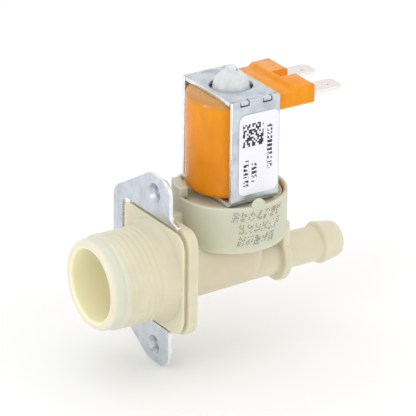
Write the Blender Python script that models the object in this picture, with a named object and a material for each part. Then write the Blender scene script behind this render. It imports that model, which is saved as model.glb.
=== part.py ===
"""Two-way solenoid water valve: threaded inlet, diaphragm cup, barbed outlet, plug-in coil.

Frame: the origin is on the inlet axis, at the front face of the mounting bracket. +X runs
with the flow from inlet to outlet, +Z runs up the coil axis, +Y points to the bracket's
closed side. Sizes below are in millimetres and become metres when an object is made.
"""
import math

import bmesh
import bpy
from mathutils import Matrix, Vector

MM = 0.001
CLEARANCE = 0.3
WELD_DISTANCE = 0.000002
FINE_STEPS = 48
SMALL_STEPS = 32
BORE_STEPS = 40

# Coil axis: every turned part of the valve's upper half stands on this line.
COIL_X = 23.9

# Inlet spout, its two flanges and the inlet chamber, all on the X axis.
THREAD_RADIUS = 13.2
LEAD_RADIUS = 12.6
SPOUT_MOUTH_X = -20.3
THREAD_START_X = -16.0
FLARE_START_X = -2.8
FLARE_RADIUS = 14.6
INLET_BORE_RADIUS = 10.0
FILTER_SEAT_X = -6.0
FRONT_FLANGE_HALF = 15.0
FRONT_FLANGE_X = (-0.3, 0.2)
REAR_FLANGE_HALF = 15.45
REAR_FLANGE_X = 1.35
REAR_FLANGE_END_X = 4.4
FLANGE_BACK_CORNER = 2.2
FLANGE_UPPER_CORNER = 4.4
FLANGE_LOWER_CORNER = 5.5
FLANGE_NECK_HALF = 13.35
FLANGE_NECK_CORNER = 5.0
CHAMBER_BORE_START_X = 4.4
STIFFENER_HALF = 1.25
STIFFENER_Z = (8.0, 15.2)
CHAMBER_RADIUS = 10.2
CHAMBER_END_RADIUS = 9.6
CHAMBER_BORE_RADIUS = 8.4
CHAMBER_END_X = 30.9
CHAMBER_END_FILLET = 5.0

# Diaphragm cup and the seat tube inside it.
CUP_RADIUS = 15.8
CUP_INNER_RADIUS = 14.7
CUP_BASE_Z = 5.7
CUP_RIM_Z = 19.2
CUP_FLOOR_Z = 7.0
SEAT_Z = 10.4
ANNULUS_RADIUS = 12.6
SEAT_TUBE_RADIUS = 5.0
SEAT_BORE_RADIUS = 3.6
NUB_RADIUS = 2.0
NUB_X = COIL_X - 0.65
NUB_CENTRE_Z = 19.3
EAR_Z = (18.65, 21.7)
EAR_INNER_RADIUS = 12.95
EAR_ANGLES = (147.0, 178.0)

# Outlet spigot, lower than the inlet.
OUTLET_Z = -4.45
OUTLET_BORE_RADIUS = 3.5
OUTLET_TUBE_RADIUS = 5.0
OUTLET_NECK_RADIUS = 5.6
COLLAR_RADIUS = 7.5
COLLAR_X = (37.9, 40.2)
COLLAR_WEB_HALF = 6.0
BARB_RADIUS = 6.0
BARB_X = 52.9
OUTLET_TIP_X = 59.2
OUTLET_TIP_RADIUS = 4.9

# Fork-shaped mounting bracket, a flat steel pressing round the front flange.
BRACKET_THICKNESS = 1.2
BRACKET_BACK_Y = 21.2
BRACKET_STRIP_Y = 16.6
BRACKET_WINDOW_HALF = 15.7
BRACKET_ARM_Y = -7.4
BRACKET_TOE_Y = -11.3
BRACKET_SHOULDER_Y = 3.1
BRACKET_TOP_Z = 27.5
BRACKET_BEND_Z = 16.8
BRACKET_BEND_ROUND = 4.6
BRACKET_ARM_ROUND = 4.2
BRACKET_SHOULDER_ROUND = 1.5
BRACKET_WINDOW_ROUND = 2.4
BRACKET_TOE_ROUND = 0.3
SCREW_HOLE_Z = 22.5
SCREW_HOLE_RADIUS = 1.75
SCREW_COLLAR_RADIUS = 2.65
SCREW_COLLAR_DEPTH = 3.0

# Guide tube: clamping flange, armature tube and domed tip.
GUIDE_FLANGE_RADIUS = 14.3
GUIDE_FLANGE_Z = (12.7, 18.3)
GUIDE_TUBE_RADIUS = 5.5
GUIDE_BORE_RADIUS = 4.6
GUIDE_STOP_Z = 46.6
DOME_TOP_Z = 54.8

# Plunger, its seal and its spring.
PLUNGER_RADIUS = 4.3
PLUNGER_Z = (15.2, 44.2)
SPRING_BORE_RADIUS = 2.6
SPRING_BORE_FLOOR_Z = 36.0
SPRING_COIL_RADIUS = 1.85
SPRING_WIRE_RADIUS = 0.25
SPRING_TURNS = 6
SPRING_Z = (36.55, 46.2)

# Coil: bobbin, winding, pole sleeves and moulded jacket with its terminal block.
BOBBIN_BORE_RADIUS = 7.1
BOBBIN_BARREL_RADIUS = 7.7
BOBBIN_FLANGE_RADIUS = 10.0
BOBBIN_Z = (20.9, 46.0)
BOBBIN_FLANGE_THICKNESS = 1.2
WINDING_RADII = (8.0, 9.7)
SLEEVE_RADII = (5.8, 6.8)
JACKET_RADIUS = 12.6
JACKET_FLAT_Y = 11.0
JACKET_Z = (20.3, 47.45)
JACKET_BORE_RADIUS = 10.3
JACKET_EDGE = 1.3
BLOCK_HALF_Y = 10.95
BLOCK_Z = (43.45, 48.85)
BLOCK_NECK_Z = 47.9
BLOCK_STEP_X = 36.5
BLOCK_FRONT_X = 43.7
BLOCK_NOTCH_HALF = 2.3
BLOCK_NOTCH_X = 38.3

# Flat blade terminals, 6.3 by 0.8.
BLADE_WIDTH = 6.3
BLADE_THICKNESS = 0.8
BLADE_Z = 45.2
BLADE_Y = 6.15
BLADE_X = (36.6, 54.2)
BLADE_HOLE_RADIUS = 0.85
BLADE_GAP = 0.15

# Yoke: U-shaped strip round the coil, closed by a top plate.
YOKE_THICKNESS = 1.2
YOKE_HALF_WIDTH = 7.6
YOKE_OUTER_Y = 12.4
YOKE_Z = (18.65, 48.95)
YOKE_BEND_RADIUS = 2.0
YOKE_HOLE_RADIUS = 5.95
STAKE_X = 3.6
STAKE_HALF_WIDTH = 1.2

# Rating label on the yoke.
LABEL_X = (-5.4, 7.2)
LABEL_Z = (21.8, 45.0)
LABEL_CORNER = 2.0
LABEL_THICKNESS = 0.12


def clear_scene():
    """Remove whatever the file holds."""
    for thing in list(bpy.data.objects):
        bpy.data.objects.remove(thing, do_unlink=True)


def make_material(name, colour, roughness, metallic=0.0):
    """Principled material with one colour, roughness and metallic value."""
    material = bpy.data.materials.new(name)
    material.use_nodes = True
    shader = material.node_tree.nodes["Principled BSDF"]
    shader.inputs["Base Color"].default_value = (*colour, 1.0)
    shader.inputs["Roughness"].default_value = roughness
    shader.inputs["Metallic"].default_value = metallic
    return material


def make_object(name, bm, material=None, place=(0.0, 0.0, 0.0)):
    """Turn a millimetre bmesh into an object in metres, with its origin at place."""
    bmesh.ops.translate(bm, verts=bm.verts, vec=-Vector(place))
    bm.transform(Matrix.Scale(MM, 4))
    mesh = bpy.data.meshes.new(name)
    bm.to_mesh(mesh)
    bm.free()
    mesh.shade_smooth()
    mesh.set_sharp_from_angle(angle=math.radians(35))
    thing = bpy.data.objects.new(name, mesh)
    thing.location = Vector(place) * MM
    bpy.context.collection.objects.link(thing)
    if material:
        mesh.materials.append(material)
    return thing


def combine(target, operation, *shapes):
    """Add one exact Boolean to target for each bmesh; the shapes stay as hidden wires."""
    for index, bm in enumerate(shapes):
        tool = make_object(f"{target.name}_{operation.lower()}_{index}", bm)
        tool.hide_render = True
        tool.display_type = "WIRE"
        modifier = target.modifiers.new(tool.name, "BOOLEAN")
        modifier.operation = operation
        modifier.solver = "EXACT"
        modifier.object = tool


def weld(target):
    """Merge the coincident points that a run of Booleans leaves."""
    modifier = target.modifiers.new("weld", "WELD")
    modifier.merge_threshold = WELD_DISTANCE


def turned(profile, steps=FINE_STEPS, phase=0.0):
    """Body of revolution about Z from (radius, z) points, closed at the axis or as a ring.

    The first of its facets' edges stands phase degrees from +X, so that facets of two
    crossing bodies don't meet edge on edge.
    """
    bm = bmesh.new()
    across, along = math.cos(math.radians(phase)), math.sin(math.radians(phase))
    verts = [bm.verts.new((radius * across, radius * along, z)) for radius, z in profile]
    edges = [bm.edges.new(pair) for pair in zip(verts, verts[1:])]
    on_axis = profile[0][0] == 0.0 and profile[-1][0] == 0.0
    if not on_axis:
        edges.append(bm.edges.new((verts[-1], verts[0])))
    bmesh.ops.spin(bm, geom=verts + edges, cent=(0, 0, 0), axis=(0, 0, 1),
                   angle=math.tau, steps=steps, use_merge=True)
    bmesh.ops.remove_doubles(bm, verts=bm.verts, dist=0.001)
    bmesh.ops.recalc_face_normals(bm, faces=bm.faces)
    return bm


def prism(outline, low, high):
    """Closed body between low and high on Z over an outline of (x, y) points."""
    bm = bmesh.new()
    face = bm.faces.new([bm.verts.new((x, y, low)) for x, y in outline])
    grown = bmesh.ops.extrude_face_region(bm, geom=[face])["geom"]
    top = [part for part in grown if isinstance(part, bmesh.types.BMVert)]
    bmesh.ops.translate(bm, verts=top, vec=(0, 0, high - low))
    bmesh.ops.recalc_face_normals(bm, faces=bm.faces)
    return bm


def block(low, high):
    """Box between two opposite corners."""
    outline = [(low[0], low[1]), (high[0], low[1]), (high[0], high[1]), (low[0], high[1])]
    return prism(outline, low[2], high[2])


def along_x(bm, y=0.0, z=0.0):
    """Turn a body made along Z to lie along X: its x becomes Y and its y becomes Z."""
    turn = Matrix(((0, 0, 1, 0), (1, 0, 0, y), (0, 1, 0, z), (0, 0, 0, 1)))
    bm.transform(turn)
    return bm


def along_y(bm, x=0.0, z=0.0):
    """Turn a body made along Z to lie along Y: its x stays X and its y becomes Z."""
    swap = Matrix(((1, 0, 0, x), (0, 0, 1, 0), (0, 1, 0, z), (0, 0, 0, 1)))
    bm.transform(swap)
    bmesh.ops.reverse_faces(bm, faces=bm.faces)
    return bm


def on_coil_axis(bm):
    """Move a body made about Z to the coil axis."""
    bmesh.ops.translate(bm, verts=bm.verts, vec=(COIL_X, 0, 0))
    return bm


def filleted(corners, steps=5):
    """Outline through (x, y, radius) corners, each rounded by an arc of its radius."""
    outline = []
    for index, (x, y, radius) in enumerate(corners):
        here = Vector((x, y))
        if radius == 0:
            outline.append(here)
            continue
        before = (Vector(corners[index - 1][:2]) - here).normalized()
        after = (Vector(corners[(index + 1) % len(corners)][:2]) - here).normalized()
        half = before.angle(after) / 2
        reach = radius / math.tan(half)
        centre = here + (before + after).normalized() * radius / math.sin(half)
        start = here + before * reach - centre
        sweep = start.angle_signed(here + after * reach - centre)
        for step in range(steps + 1):
            angle = -sweep * step / steps
            outline.append(centre + Matrix.Rotation(angle, 2) @ start)
    return [tuple(point) for point in outline]


def rounded_square(half, radius):
    """Square outline with rounded corners, centred on the origin."""
    return filleted([(half, half, radius), (-half, half, radius),
                     (-half, -half, radius), (half, -half, radius)])


def arc_points(centre, radius, start, end, steps):
    """Points (r, z) on an arc about centre, angles in degrees."""
    angles = [math.radians(start + (end - start) * step / steps) for step in range(steps + 1)]
    return [(centre[0] + radius * math.cos(a), centre[1] + radius * math.sin(a)) for a in angles]


def inlet_solid():
    """Spout with its flare and round-ended inlet chamber as one turned solid along X."""
    lip = arc_points((LEAD_RADIUS - 1.1, SPOUT_MOUTH_X + 1.1), 1.1, -90, 0, 4)
    end = arc_points((CHAMBER_END_RADIUS - CHAMBER_END_FILLET, CHAMBER_END_X - CHAMBER_END_FILLET),
                     CHAMBER_END_FILLET, 0, 90, 6)
    profile = [(0.0, SPOUT_MOUTH_X), *lip,
               (LEAD_RADIUS, THREAD_START_X - 0.6), (THREAD_RADIUS, THREAD_START_X),
               (THREAD_RADIUS, FLARE_START_X), (FLARE_RADIUS, 0.0), (THREAD_RADIUS, 0.0),
               (THREAD_RADIUS, REAR_FLANGE_X + 1.0), (CHAMBER_RADIUS, REAR_FLANGE_X + 1.0),
               *end, (0.0, CHAMBER_END_X)]
    return along_x(turned(profile))


def cup_solid():
    """Outer shape of the diaphragm cup."""
    return on_coil_axis(turned([
        (0.0, CUP_BASE_Z), (CUP_RADIUS - 1.0, CUP_BASE_Z), (CUP_RADIUS - 0.3, CUP_BASE_Z + 0.3),
        (CUP_RADIUS, CUP_BASE_Z + 1.0), (CUP_RADIUS, CUP_RIM_Z - 0.4),
        (CUP_RADIUS - 0.4, CUP_RIM_Z), (0.0, CUP_RIM_Z)]))


def cup_recess():
    """Space inside the cup: diaphragm recess above, ring channel below."""
    return on_coil_axis(turned([
        (0.0, CUP_FLOOR_Z), (ANNULUS_RADIUS, CUP_FLOOR_Z), (ANNULUS_RADIUS, SEAT_Z),
        (CUP_INNER_RADIUS, SEAT_Z), (CUP_INNER_RADIUS, CUP_RIM_Z + 4.0),
        (0.0, CUP_RIM_Z + 4.0)]))


def outlet_solid():
    """Neck, collar, tube and hose barb of the outlet."""
    start, stop = COLLAR_X
    return along_x(turned([
        (0.0, 28.0), (OUTLET_NECK_RADIUS, 28.0), (OUTLET_NECK_RADIUS, start),
        (COLLAR_RADIUS - 0.3, start), (COLLAR_RADIUS, start + 0.3),
        (COLLAR_RADIUS, stop - 0.3), (COLLAR_RADIUS - 0.3, stop),
        (OUTLET_TUBE_RADIUS + 0.4, stop), (OUTLET_TUBE_RADIUS, stop + 0.4),
        (OUTLET_TUBE_RADIUS, BARB_X - 0.9), (BARB_RADIUS - 0.1, BARB_X - 0.2),
        (BARB_RADIUS, BARB_X + 0.3), (OUTLET_TIP_RADIUS, OUTLET_TIP_X - 0.5),
        (OUTLET_TIP_RADIUS - 0.5, OUTLET_TIP_X), (0.0, OUTLET_TIP_X)], SMALL_STEPS), z=OUTLET_Z)


def rim_nub(side):
    """Half-round nub on the cup's rim, on the side given as -1 or +1."""
    arch = arc_points((NUB_X, NUB_CENTRE_Z), NUB_RADIUS, 0, 180, 8)
    outline = [(NUB_X + NUB_RADIUS, CUP_RIM_Z - 3.0), *arch, (NUB_X - NUB_RADIUS, CUP_RIM_Z - 3.0)]
    near, far = CUP_INNER_RADIUS - 0.5, CUP_RADIUS - 0.05
    low, high = sorted((side * near, side * far))
    return along_y(prism(outline, low, high))


def rim_ear():
    """Raised, thicker stretch of the cup's rim on the inlet side."""
    start, stop = EAR_ANGLES
    outer = arc_points((0.0, 0.0), CUP_RADIUS - 0.04, start, stop, 6)
    inner = arc_points((0.0, 0.0), EAR_INNER_RADIUS, stop, start, 6)
    return on_coil_axis(prism(outer + inner, *EAR_Z))


def flange_outline(half):
    """Square flange, sharpest at its upper back corner, as (y, z) points."""
    upper, lower = FLANGE_UPPER_CORNER, FLANGE_LOWER_CORNER
    return filleted([(half, half, FLANGE_BACK_CORNER), (-half, half, upper),
                     (-half, -half, lower), (half, -half, lower)])


def build_valve_body(material):
    """Moulded body: inlet spout, two flanges, chamber, cup, seat and outlet barb."""
    body = make_object("valve_body", inlet_solid(), material)
    front, back = FRONT_FLANGE_X
    neck = rounded_square(FLANGE_NECK_HALF, FLANGE_NECK_CORNER)
    web_low = (COLLAR_X[0] + 0.05, -COLLAR_WEB_HALF, OUTLET_Z)
    web_high = (COLLAR_X[1] - 0.05, COLLAR_WEB_HALF, CUP_BASE_Z + 1.5)
    stiffener_low = (REAR_FLANGE_X + 2.3, -STIFFENER_HALF, STIFFENER_Z[0])
    stiffener_high = (COIL_X - CUP_RADIUS + 1.5, STIFFENER_HALF, STIFFENER_Z[1])
    combine(
        body, "UNION",
        along_x(prism(flange_outline(FRONT_FLANGE_HALF), front, back)),
        along_x(prism(flange_outline(REAR_FLANGE_HALF), REAR_FLANGE_X, REAR_FLANGE_END_X)),
        along_x(prism(neck, (front + back) / 2, REAR_FLANGE_X + 1.5)),
        cup_solid(),
        outlet_solid(),
        block(web_low, web_high),
        block(stiffener_low, stiffener_high),
        rim_nub(-1),
        rim_nub(1))
    inlet_bore = along_x(turned([
        (0.0, SPOUT_MOUTH_X - 1.0), (INLET_BORE_RADIUS, SPOUT_MOUTH_X - 1.0),
        (INLET_BORE_RADIUS, FILTER_SEAT_X), (INLET_BORE_RADIUS - 0.8, FILTER_SEAT_X),
        (INLET_BORE_RADIUS - 0.8, CHAMBER_BORE_START_X), (CHAMBER_BORE_RADIUS, CHAMBER_BORE_START_X),
        (CHAMBER_BORE_RADIUS, CHAMBER_END_X - 4.4), (0.0, CHAMBER_END_X - 4.4)], BORE_STEPS, 1.5))
    combine(body, "DIFFERENCE", inlet_bore, cup_recess())
    weld(body)
    seat_tube = [(0.0, OUTLET_Z), (SEAT_TUBE_RADIUS, OUTLET_Z),
                 (SEAT_TUBE_RADIUS, SEAT_Z - 0.6), (SEAT_TUBE_RADIUS - 0.4, SEAT_Z), (0.0, SEAT_Z)]
    duct_end = CHAMBER_END_X - 3.9
    inner_end = COIL_X - SEAT_TUBE_RADIUS
    duct = [(0.0, inner_end), (SEAT_TUBE_RADIUS - 0.1, inner_end), (SEAT_TUBE_RADIUS - 0.1, duct_end),
            (0.0, duct_end)]
    combine(body, "UNION", on_coil_axis(turned(seat_tube, SMALL_STEPS, 4.0)),
            along_x(turned(duct, BORE_STEPS, 2.0), z=OUTLET_Z), rim_ear())
    weld(body)
    drop = [(0.0, OUTLET_Z), (SEAT_BORE_RADIUS, OUTLET_Z),
            (SEAT_BORE_RADIUS, SEAT_Z + 1.0), (0.0, SEAT_Z + 1.0)]
    turn_end = COIL_X - SEAT_BORE_RADIUS
    run = [(0.0, turn_end), (OUTLET_BORE_RADIUS, turn_end), (OUTLET_BORE_RADIUS, OUTLET_TIP_X + 1.0),
           (0.0, OUTLET_TIP_X + 1.0)]
    combine(body, "DIFFERENCE", on_coil_axis(turned(drop, SMALL_STEPS, 3.0)),
            along_x(turned(run, BORE_STEPS, 1.0), z=OUTLET_Z))


def build_bracket(material):
    """Fork bracket with two drawn screw holes, open towards -Y."""
    window, arm, top = BRACKET_WINDOW_HALF, BRACKET_ARM_Y, BRACKET_TOP_Z
    strip, back, bend = BRACKET_STRIP_Y, BRACKET_BACK_Y, BRACKET_BEND_Z
    toe, nose = BRACKET_TOE_Y, BRACKET_TOE_ROUND
    upper = [(strip, window, BRACKET_WINDOW_ROUND), (toe, window, nose), (toe, window + 0.7, nose),
             (arm, window + 1.7, 1.6), (arm, top, BRACKET_ARM_ROUND),
             (BRACKET_SHOULDER_Y, top, BRACKET_SHOULDER_ROUND), (back, bend, BRACKET_BEND_ROUND)]
    lower = [(back, -bend, BRACKET_BEND_ROUND), (BRACKET_SHOULDER_Y, -top, BRACKET_SHOULDER_ROUND),
             (arm, -top, BRACKET_ARM_ROUND), (arm, -window, 1.0), (strip, -window, BRACKET_WINDOW_ROUND)]
    plate = prism(filleted(upper + lower), 0.0, BRACKET_THICKNESS)
    bracket = make_object("mounting_bracket", along_x(plate), material)
    for z in (SCREW_HOLE_Z, -SCREW_HOLE_Z):
        collar = [(0.0, 0.8), (SCREW_COLLAR_RADIUS, 0.8), (SCREW_COLLAR_RADIUS, SCREW_COLLAR_DEPTH),
                  (0.0, SCREW_COLLAR_DEPTH)]
        funnel = [(0.0, -0.5), (SCREW_COLLAR_RADIUS, -0.5), (SCREW_COLLAR_RADIUS - 0.05, 0.0),
                  (SCREW_HOLE_RADIUS + 0.3, 0.4), (SCREW_HOLE_RADIUS, 1.0),
                  (SCREW_HOLE_RADIUS, SCREW_COLLAR_DEPTH + 0.5), (0.0, SCREW_COLLAR_DEPTH + 0.5)]
        combine(bracket, "UNION", along_x(turned(collar, 24), z=z))
        combine(bracket, "DIFFERENCE", along_x(turned(funnel, 24), z=z))


def build_inlet_fittings(plastic, rubber):
    """Strainer basket and flow regulator inside the inlet."""
    ring_x, basket_end = FILTER_SEAT_X - 1.6, 8.0
    outer, inner = CHAMBER_BORE_RADIUS - 0.6, CHAMBER_BORE_RADIUS - 1.4
    basket = [(inner, ring_x), (INLET_BORE_RADIUS - CLEARANCE, ring_x),
              (INLET_BORE_RADIUS - CLEARANCE, FILTER_SEAT_X - CLEARANCE),
              (outer, FILTER_SEAT_X - CLEARANCE), (outer, basket_end - 0.8),
              (outer - 0.8, basket_end), (0.0, basket_end)]
    hollow = [(0.0, ring_x - 1.0), (inner, ring_x - 1.0), (inner, basket_end - 0.8),
              (0.0, basket_end - 0.8)]
    strainer = make_object("inlet_filter", along_x(turned([(0.0, ring_x), *basket], SMALL_STEPS)), plastic)
    combine(strainer, "DIFFERENCE", along_x(turned(hollow, SMALL_STEPS)))
    window_x = (FILTER_SEAT_X + 1.0, basket_end - 1.8)
    for index in range(4):
        window = block((window_x[0], -outer - 1.0, -1.7), (window_x[1], outer + 1.0, 1.7))
        window.transform(Matrix.Rotation(math.radians(45 * index + 22.5), 4, "X"))
        combine(strainer, "DIFFERENCE", window)

    front, back = 9.0, 13.0
    rim = CHAMBER_BORE_RADIUS - CLEARANCE
    holder = [(rim, front), (rim, back), (2.2, back), (2.2, back - 1.0), (5.6, back - 1.0), (5.6, front)]
    make_object("flow_regulator_holder", along_x(turned(holder, SMALL_STEPS)), plastic)
    washer = [(1.6, front + CLEARANCE), (5.3, front + CLEARANCE), (5.3, back - 1.0 - CLEARANCE),
              (1.6, back - 1.0 - CLEARANCE)]
    make_object("flow_regulator_washer", along_x(turned(washer, SMALL_STEPS)), rubber)


def build_diaphragm(rubber, plastic):
    """Rubber diaphragm over the seat and the rigid plate with the pilot hole."""
    low, high = SEAT_Z + CLEARANCE, GUIDE_FLANGE_Z[0] - CLEARANCE
    rim = GUIDE_FLANGE_RADIUS
    make_object("diaphragm", turned([
        (2.0, low), (6.2, low), (7.2, low + 0.4), (9.0, low + 0.8), (11.2, low + 0.4), (12.6, low),
        (rim, low), (rim, high), (12.6, high), (11.2, high - 0.5), (9.0, high - 0.1),
        (7.2, high - 0.5), (2.0, high - 0.5)]), rubber, (0, 0, SEAT_Z)).location.x = COIL_X * MM
    disc = high - 0.1
    make_object("diaphragm_plate", turned([
        (0.5, SEAT_Z - 1.2), (1.7, SEAT_Z - 1.2), (1.7, disc), (6.4, disc), (6.4, disc + 1.1),
        (6.0, disc + 1.4), (1.6, disc + 1.4), (1.1, disc + 2.1), (0.5, disc + 2.1)], SMALL_STEPS),
        plastic, (0, 0, SEAT_Z)).location.x = COIL_X * MM


def build_guide_tube(material):
    """Armature guide: flange that clamps the diaphragm, thin tube and domed tip."""
    flange_low, flange_top = GUIDE_FLANGE_Z
    skirt = ANNULUS_RADIUS - 2.0
    profile = [
        (0.0, DOME_TOP_Z), (1.1, DOME_TOP_Z), (1.6, DOME_TOP_Z - 0.3), (1.85, DOME_TOP_Z - 1.1),
        (2.4, DOME_TOP_Z - 1.8), (3.6, DOME_TOP_Z - 2.5), (4.6, DOME_TOP_Z - 3.6),
        (5.05, DOME_TOP_Z - 4.8), (5.1, DOME_TOP_Z - 5.6), (GUIDE_TUBE_RADIUS, DOME_TOP_Z - 7.4),
        (GUIDE_TUBE_RADIUS, flange_top), (GUIDE_FLANGE_RADIUS - 0.4, flange_top),
        (GUIDE_FLANGE_RADIUS, flange_top - 0.4), (GUIDE_FLANGE_RADIUS, flange_low),
        (skirt, flange_low), (skirt, 16.8), (GUIDE_BORE_RADIUS, 16.8),
        (GUIDE_BORE_RADIUS, GUIDE_STOP_Z), (0.0, GUIDE_STOP_Z)]
    make_object("guide_tube", on_coil_axis(turned(profile)), material)


def build_plunger(steel, rubber, spring_steel):
    """Plunger with its seal and return spring; each origin is on the coil axis."""
    base, top = PLUNGER_Z
    pivot = bpy.data.objects.new("plunger_axis", None)
    pivot.location = Vector((COIL_X, 0, base)) * MM
    bpy.context.collection.objects.link(pivot)
    body = [(0.0, base + 1.7), (2.2, base + 1.7), (2.2, base), (3.4, base), (PLUNGER_RADIUS, base + 1.0),
            (PLUNGER_RADIUS, top - 0.4), (PLUNGER_RADIUS - 0.4, top), (SPRING_BORE_RADIUS, top),
            (SPRING_BORE_RADIUS, SPRING_BORE_FLOOR_Z), (0.0, SPRING_BORE_FLOOR_Z)]
    seal = [(0.0, base - 0.5), (1.5, base - 0.5), (1.9, base - 0.2), (1.9, base + 1.4), (0.0, base + 1.4)]
    make_object("plunger", turned(body, SMALL_STEPS), steel, (0, 0, base)).parent = pivot
    make_object("plunger_seal", turned(seal, 24), rubber, (0, 0, base)).parent = pivot
    for child in pivot.children:
        child.location = (0, 0, 0)

    points_per_turn = 14
    count = SPRING_TURNS * points_per_turn
    curve = bpy.data.curves.new("plunger_spring", "CURVE")
    curve.dimensions = "3D"
    curve.bevel_depth = SPRING_WIRE_RADIUS * MM
    curve.bevel_resolution = 1
    curve.use_fill_caps = True
    wire = curve.splines.new("POLY")
    wire.points.add(count)
    low, high = SPRING_Z
    for index, point in enumerate(wire.points):
        angle = math.tau * index / points_per_turn
        height = low + (high - low) * index / count
        place = Vector((SPRING_COIL_RADIUS * math.cos(angle), SPRING_COIL_RADIUS * math.sin(angle), height))
        point.co = (*(place * MM), 1.0)
    curve.materials.append(spring_steel)
    spring = bpy.data.objects.new("plunger_spring", curve)
    spring.location = (COIL_X * MM, 0, 0)
    bpy.context.collection.objects.link(spring)


def build_coil(bobbin_plastic, copper, steel, resin):
    """Bobbin, winding, two pole sleeves and the moulded jacket with its terminal block."""
    low, high = BOBBIN_Z
    wall = BOBBIN_FLANGE_THICKNESS
    make_object("coil_bobbin", on_coil_axis(turned([
        (BOBBIN_BORE_RADIUS, low), (BOBBIN_FLANGE_RADIUS, low), (BOBBIN_FLANGE_RADIUS, low + wall),
        (BOBBIN_BARREL_RADIUS, low + wall), (BOBBIN_BARREL_RADIUS, high - wall),
        (BOBBIN_FLANGE_RADIUS, high - wall), (BOBBIN_FLANGE_RADIUS, high),
        (BOBBIN_BORE_RADIUS, high)])), bobbin_plastic)
    inner, outer = WINDING_RADII
    bottom, top = low + wall + CLEARANCE, high - wall - CLEARANCE
    make_object("copper_winding", on_coil_axis(turned([
        (inner, bottom), (outer, bottom), (outer, top), (inner, top)])), copper)
    inner, outer = SLEEVE_RADII
    for name, bottom, top in (("lower_pole_sleeve", 20.2, 31.0), ("upper_pole_sleeve", 36.0, JACKET_Z[1])):
        make_object(name, on_coil_axis(turned([
            (inner, bottom), (outer, bottom), (outer, top), (inner, top)])), steel)

    bottom, top = JACKET_Z
    edge = JACKET_EDGE
    upper_edge = arc_points((JACKET_RADIUS - edge, top - edge), edge, 0, 90, 3)
    lower_edge = arc_points((JACKET_RADIUS - edge, bottom + edge), edge, -90, 0, 3)
    jacket = make_object("coil_jacket", on_coil_axis(turned([
        (0.0, bottom), *lower_edge, *upper_edge, (0.0, top)])), resin)
    reach = JACKET_RADIUS + 2.0
    for side in (-1, 1):
        near, far = sorted((side * JACKET_FLAT_Y, side * reach))
        combine(jacket, "DIFFERENCE",
                block((COIL_X - reach, near, bottom - 1.0), (COIL_X + reach, far, top + 1.0)))
    yoke_edge = COIL_X + YOKE_HALF_WIDTH + CLEARANCE
    floor, roof = BLOCK_Z
    side_view = [(COIL_X + 4.0, floor), (BLOCK_FRONT_X - 0.5, floor), (BLOCK_FRONT_X, floor + 0.5),
                 (BLOCK_FRONT_X, roof - 0.6), (BLOCK_FRONT_X - 0.6, roof), (BLOCK_STEP_X + 1.2, roof),
                 (BLOCK_STEP_X, BLOCK_NECK_Z), (yoke_edge, BLOCK_NECK_Z), (yoke_edge, top - 0.05),
                 (COIL_X + 4.0, top - 0.05)]
    combine(jacket, "UNION", along_y(prism(side_view, -BLOCK_HALF_Y, BLOCK_HALF_Y)))
    ceiling = BOBBIN_Z[1] + CLEARANCE
    cavity = [(0.0, bottom - 1.0), (JACKET_BORE_RADIUS, bottom - 1.0), (JACKET_BORE_RADIUS, ceiling),
              (BOBBIN_BORE_RADIUS, ceiling), (BOBBIN_BORE_RADIUS, top + 1.0), (0.0, top + 1.0)]
    notch = block((BLOCK_NOTCH_X, -BLOCK_NOTCH_HALF, floor - 1.0),
                  (BLOCK_FRONT_X + 1.0, BLOCK_NOTCH_HALF, roof + 1.0))
    combine(jacket, "DIFFERENCE", on_coil_axis(turned(cavity)), notch)
    slot_half, slot_depth = BLADE_WIDTH / 2 + BLADE_GAP, BLADE_THICKNESS / 2 + BLADE_GAP
    for side in (-1, 1):
        low = (BLADE_X[0] - CLEARANCE, side * BLADE_Y - slot_half, BLADE_Z - slot_depth)
        high = (BLOCK_FRONT_X + 1.0, side * BLADE_Y + slot_half, BLADE_Z + slot_depth)
        combine(jacket, "DIFFERENCE", block(low, high))


def build_terminals(material):
    """Two flat blades that carry the coil's current."""
    start, tip = BLADE_X
    half = BLADE_WIDTH / 2
    for name, side in (("terminal_front", -1), ("terminal_rear", 1)):
        middle = side * BLADE_Y
        outline = [(start, middle - half), (tip - 2.0, middle - half), (tip, middle - half + 1.5),
                   (tip, middle + half - 1.5), (tip - 2.0, middle + half), (start, middle + half)]
        strip = prism(outline, BLADE_Z - BLADE_THICKNESS / 2, BLADE_Z + BLADE_THICKNESS / 2)
        blade = make_object(name, strip, material)
        hole = turned([(0.0, BLADE_Z - 2.0), (BLADE_HOLE_RADIUS, BLADE_Z - 2.0),
                       (BLADE_HOLE_RADIUS, BLADE_Z + 2.0), (0.0, BLADE_Z + 2.0)], 16)
        bmesh.ops.translate(hole, verts=hole.verts, vec=(tip - 3.6, middle, 0))
        combine(blade, "DIFFERENCE", hole)


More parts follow.
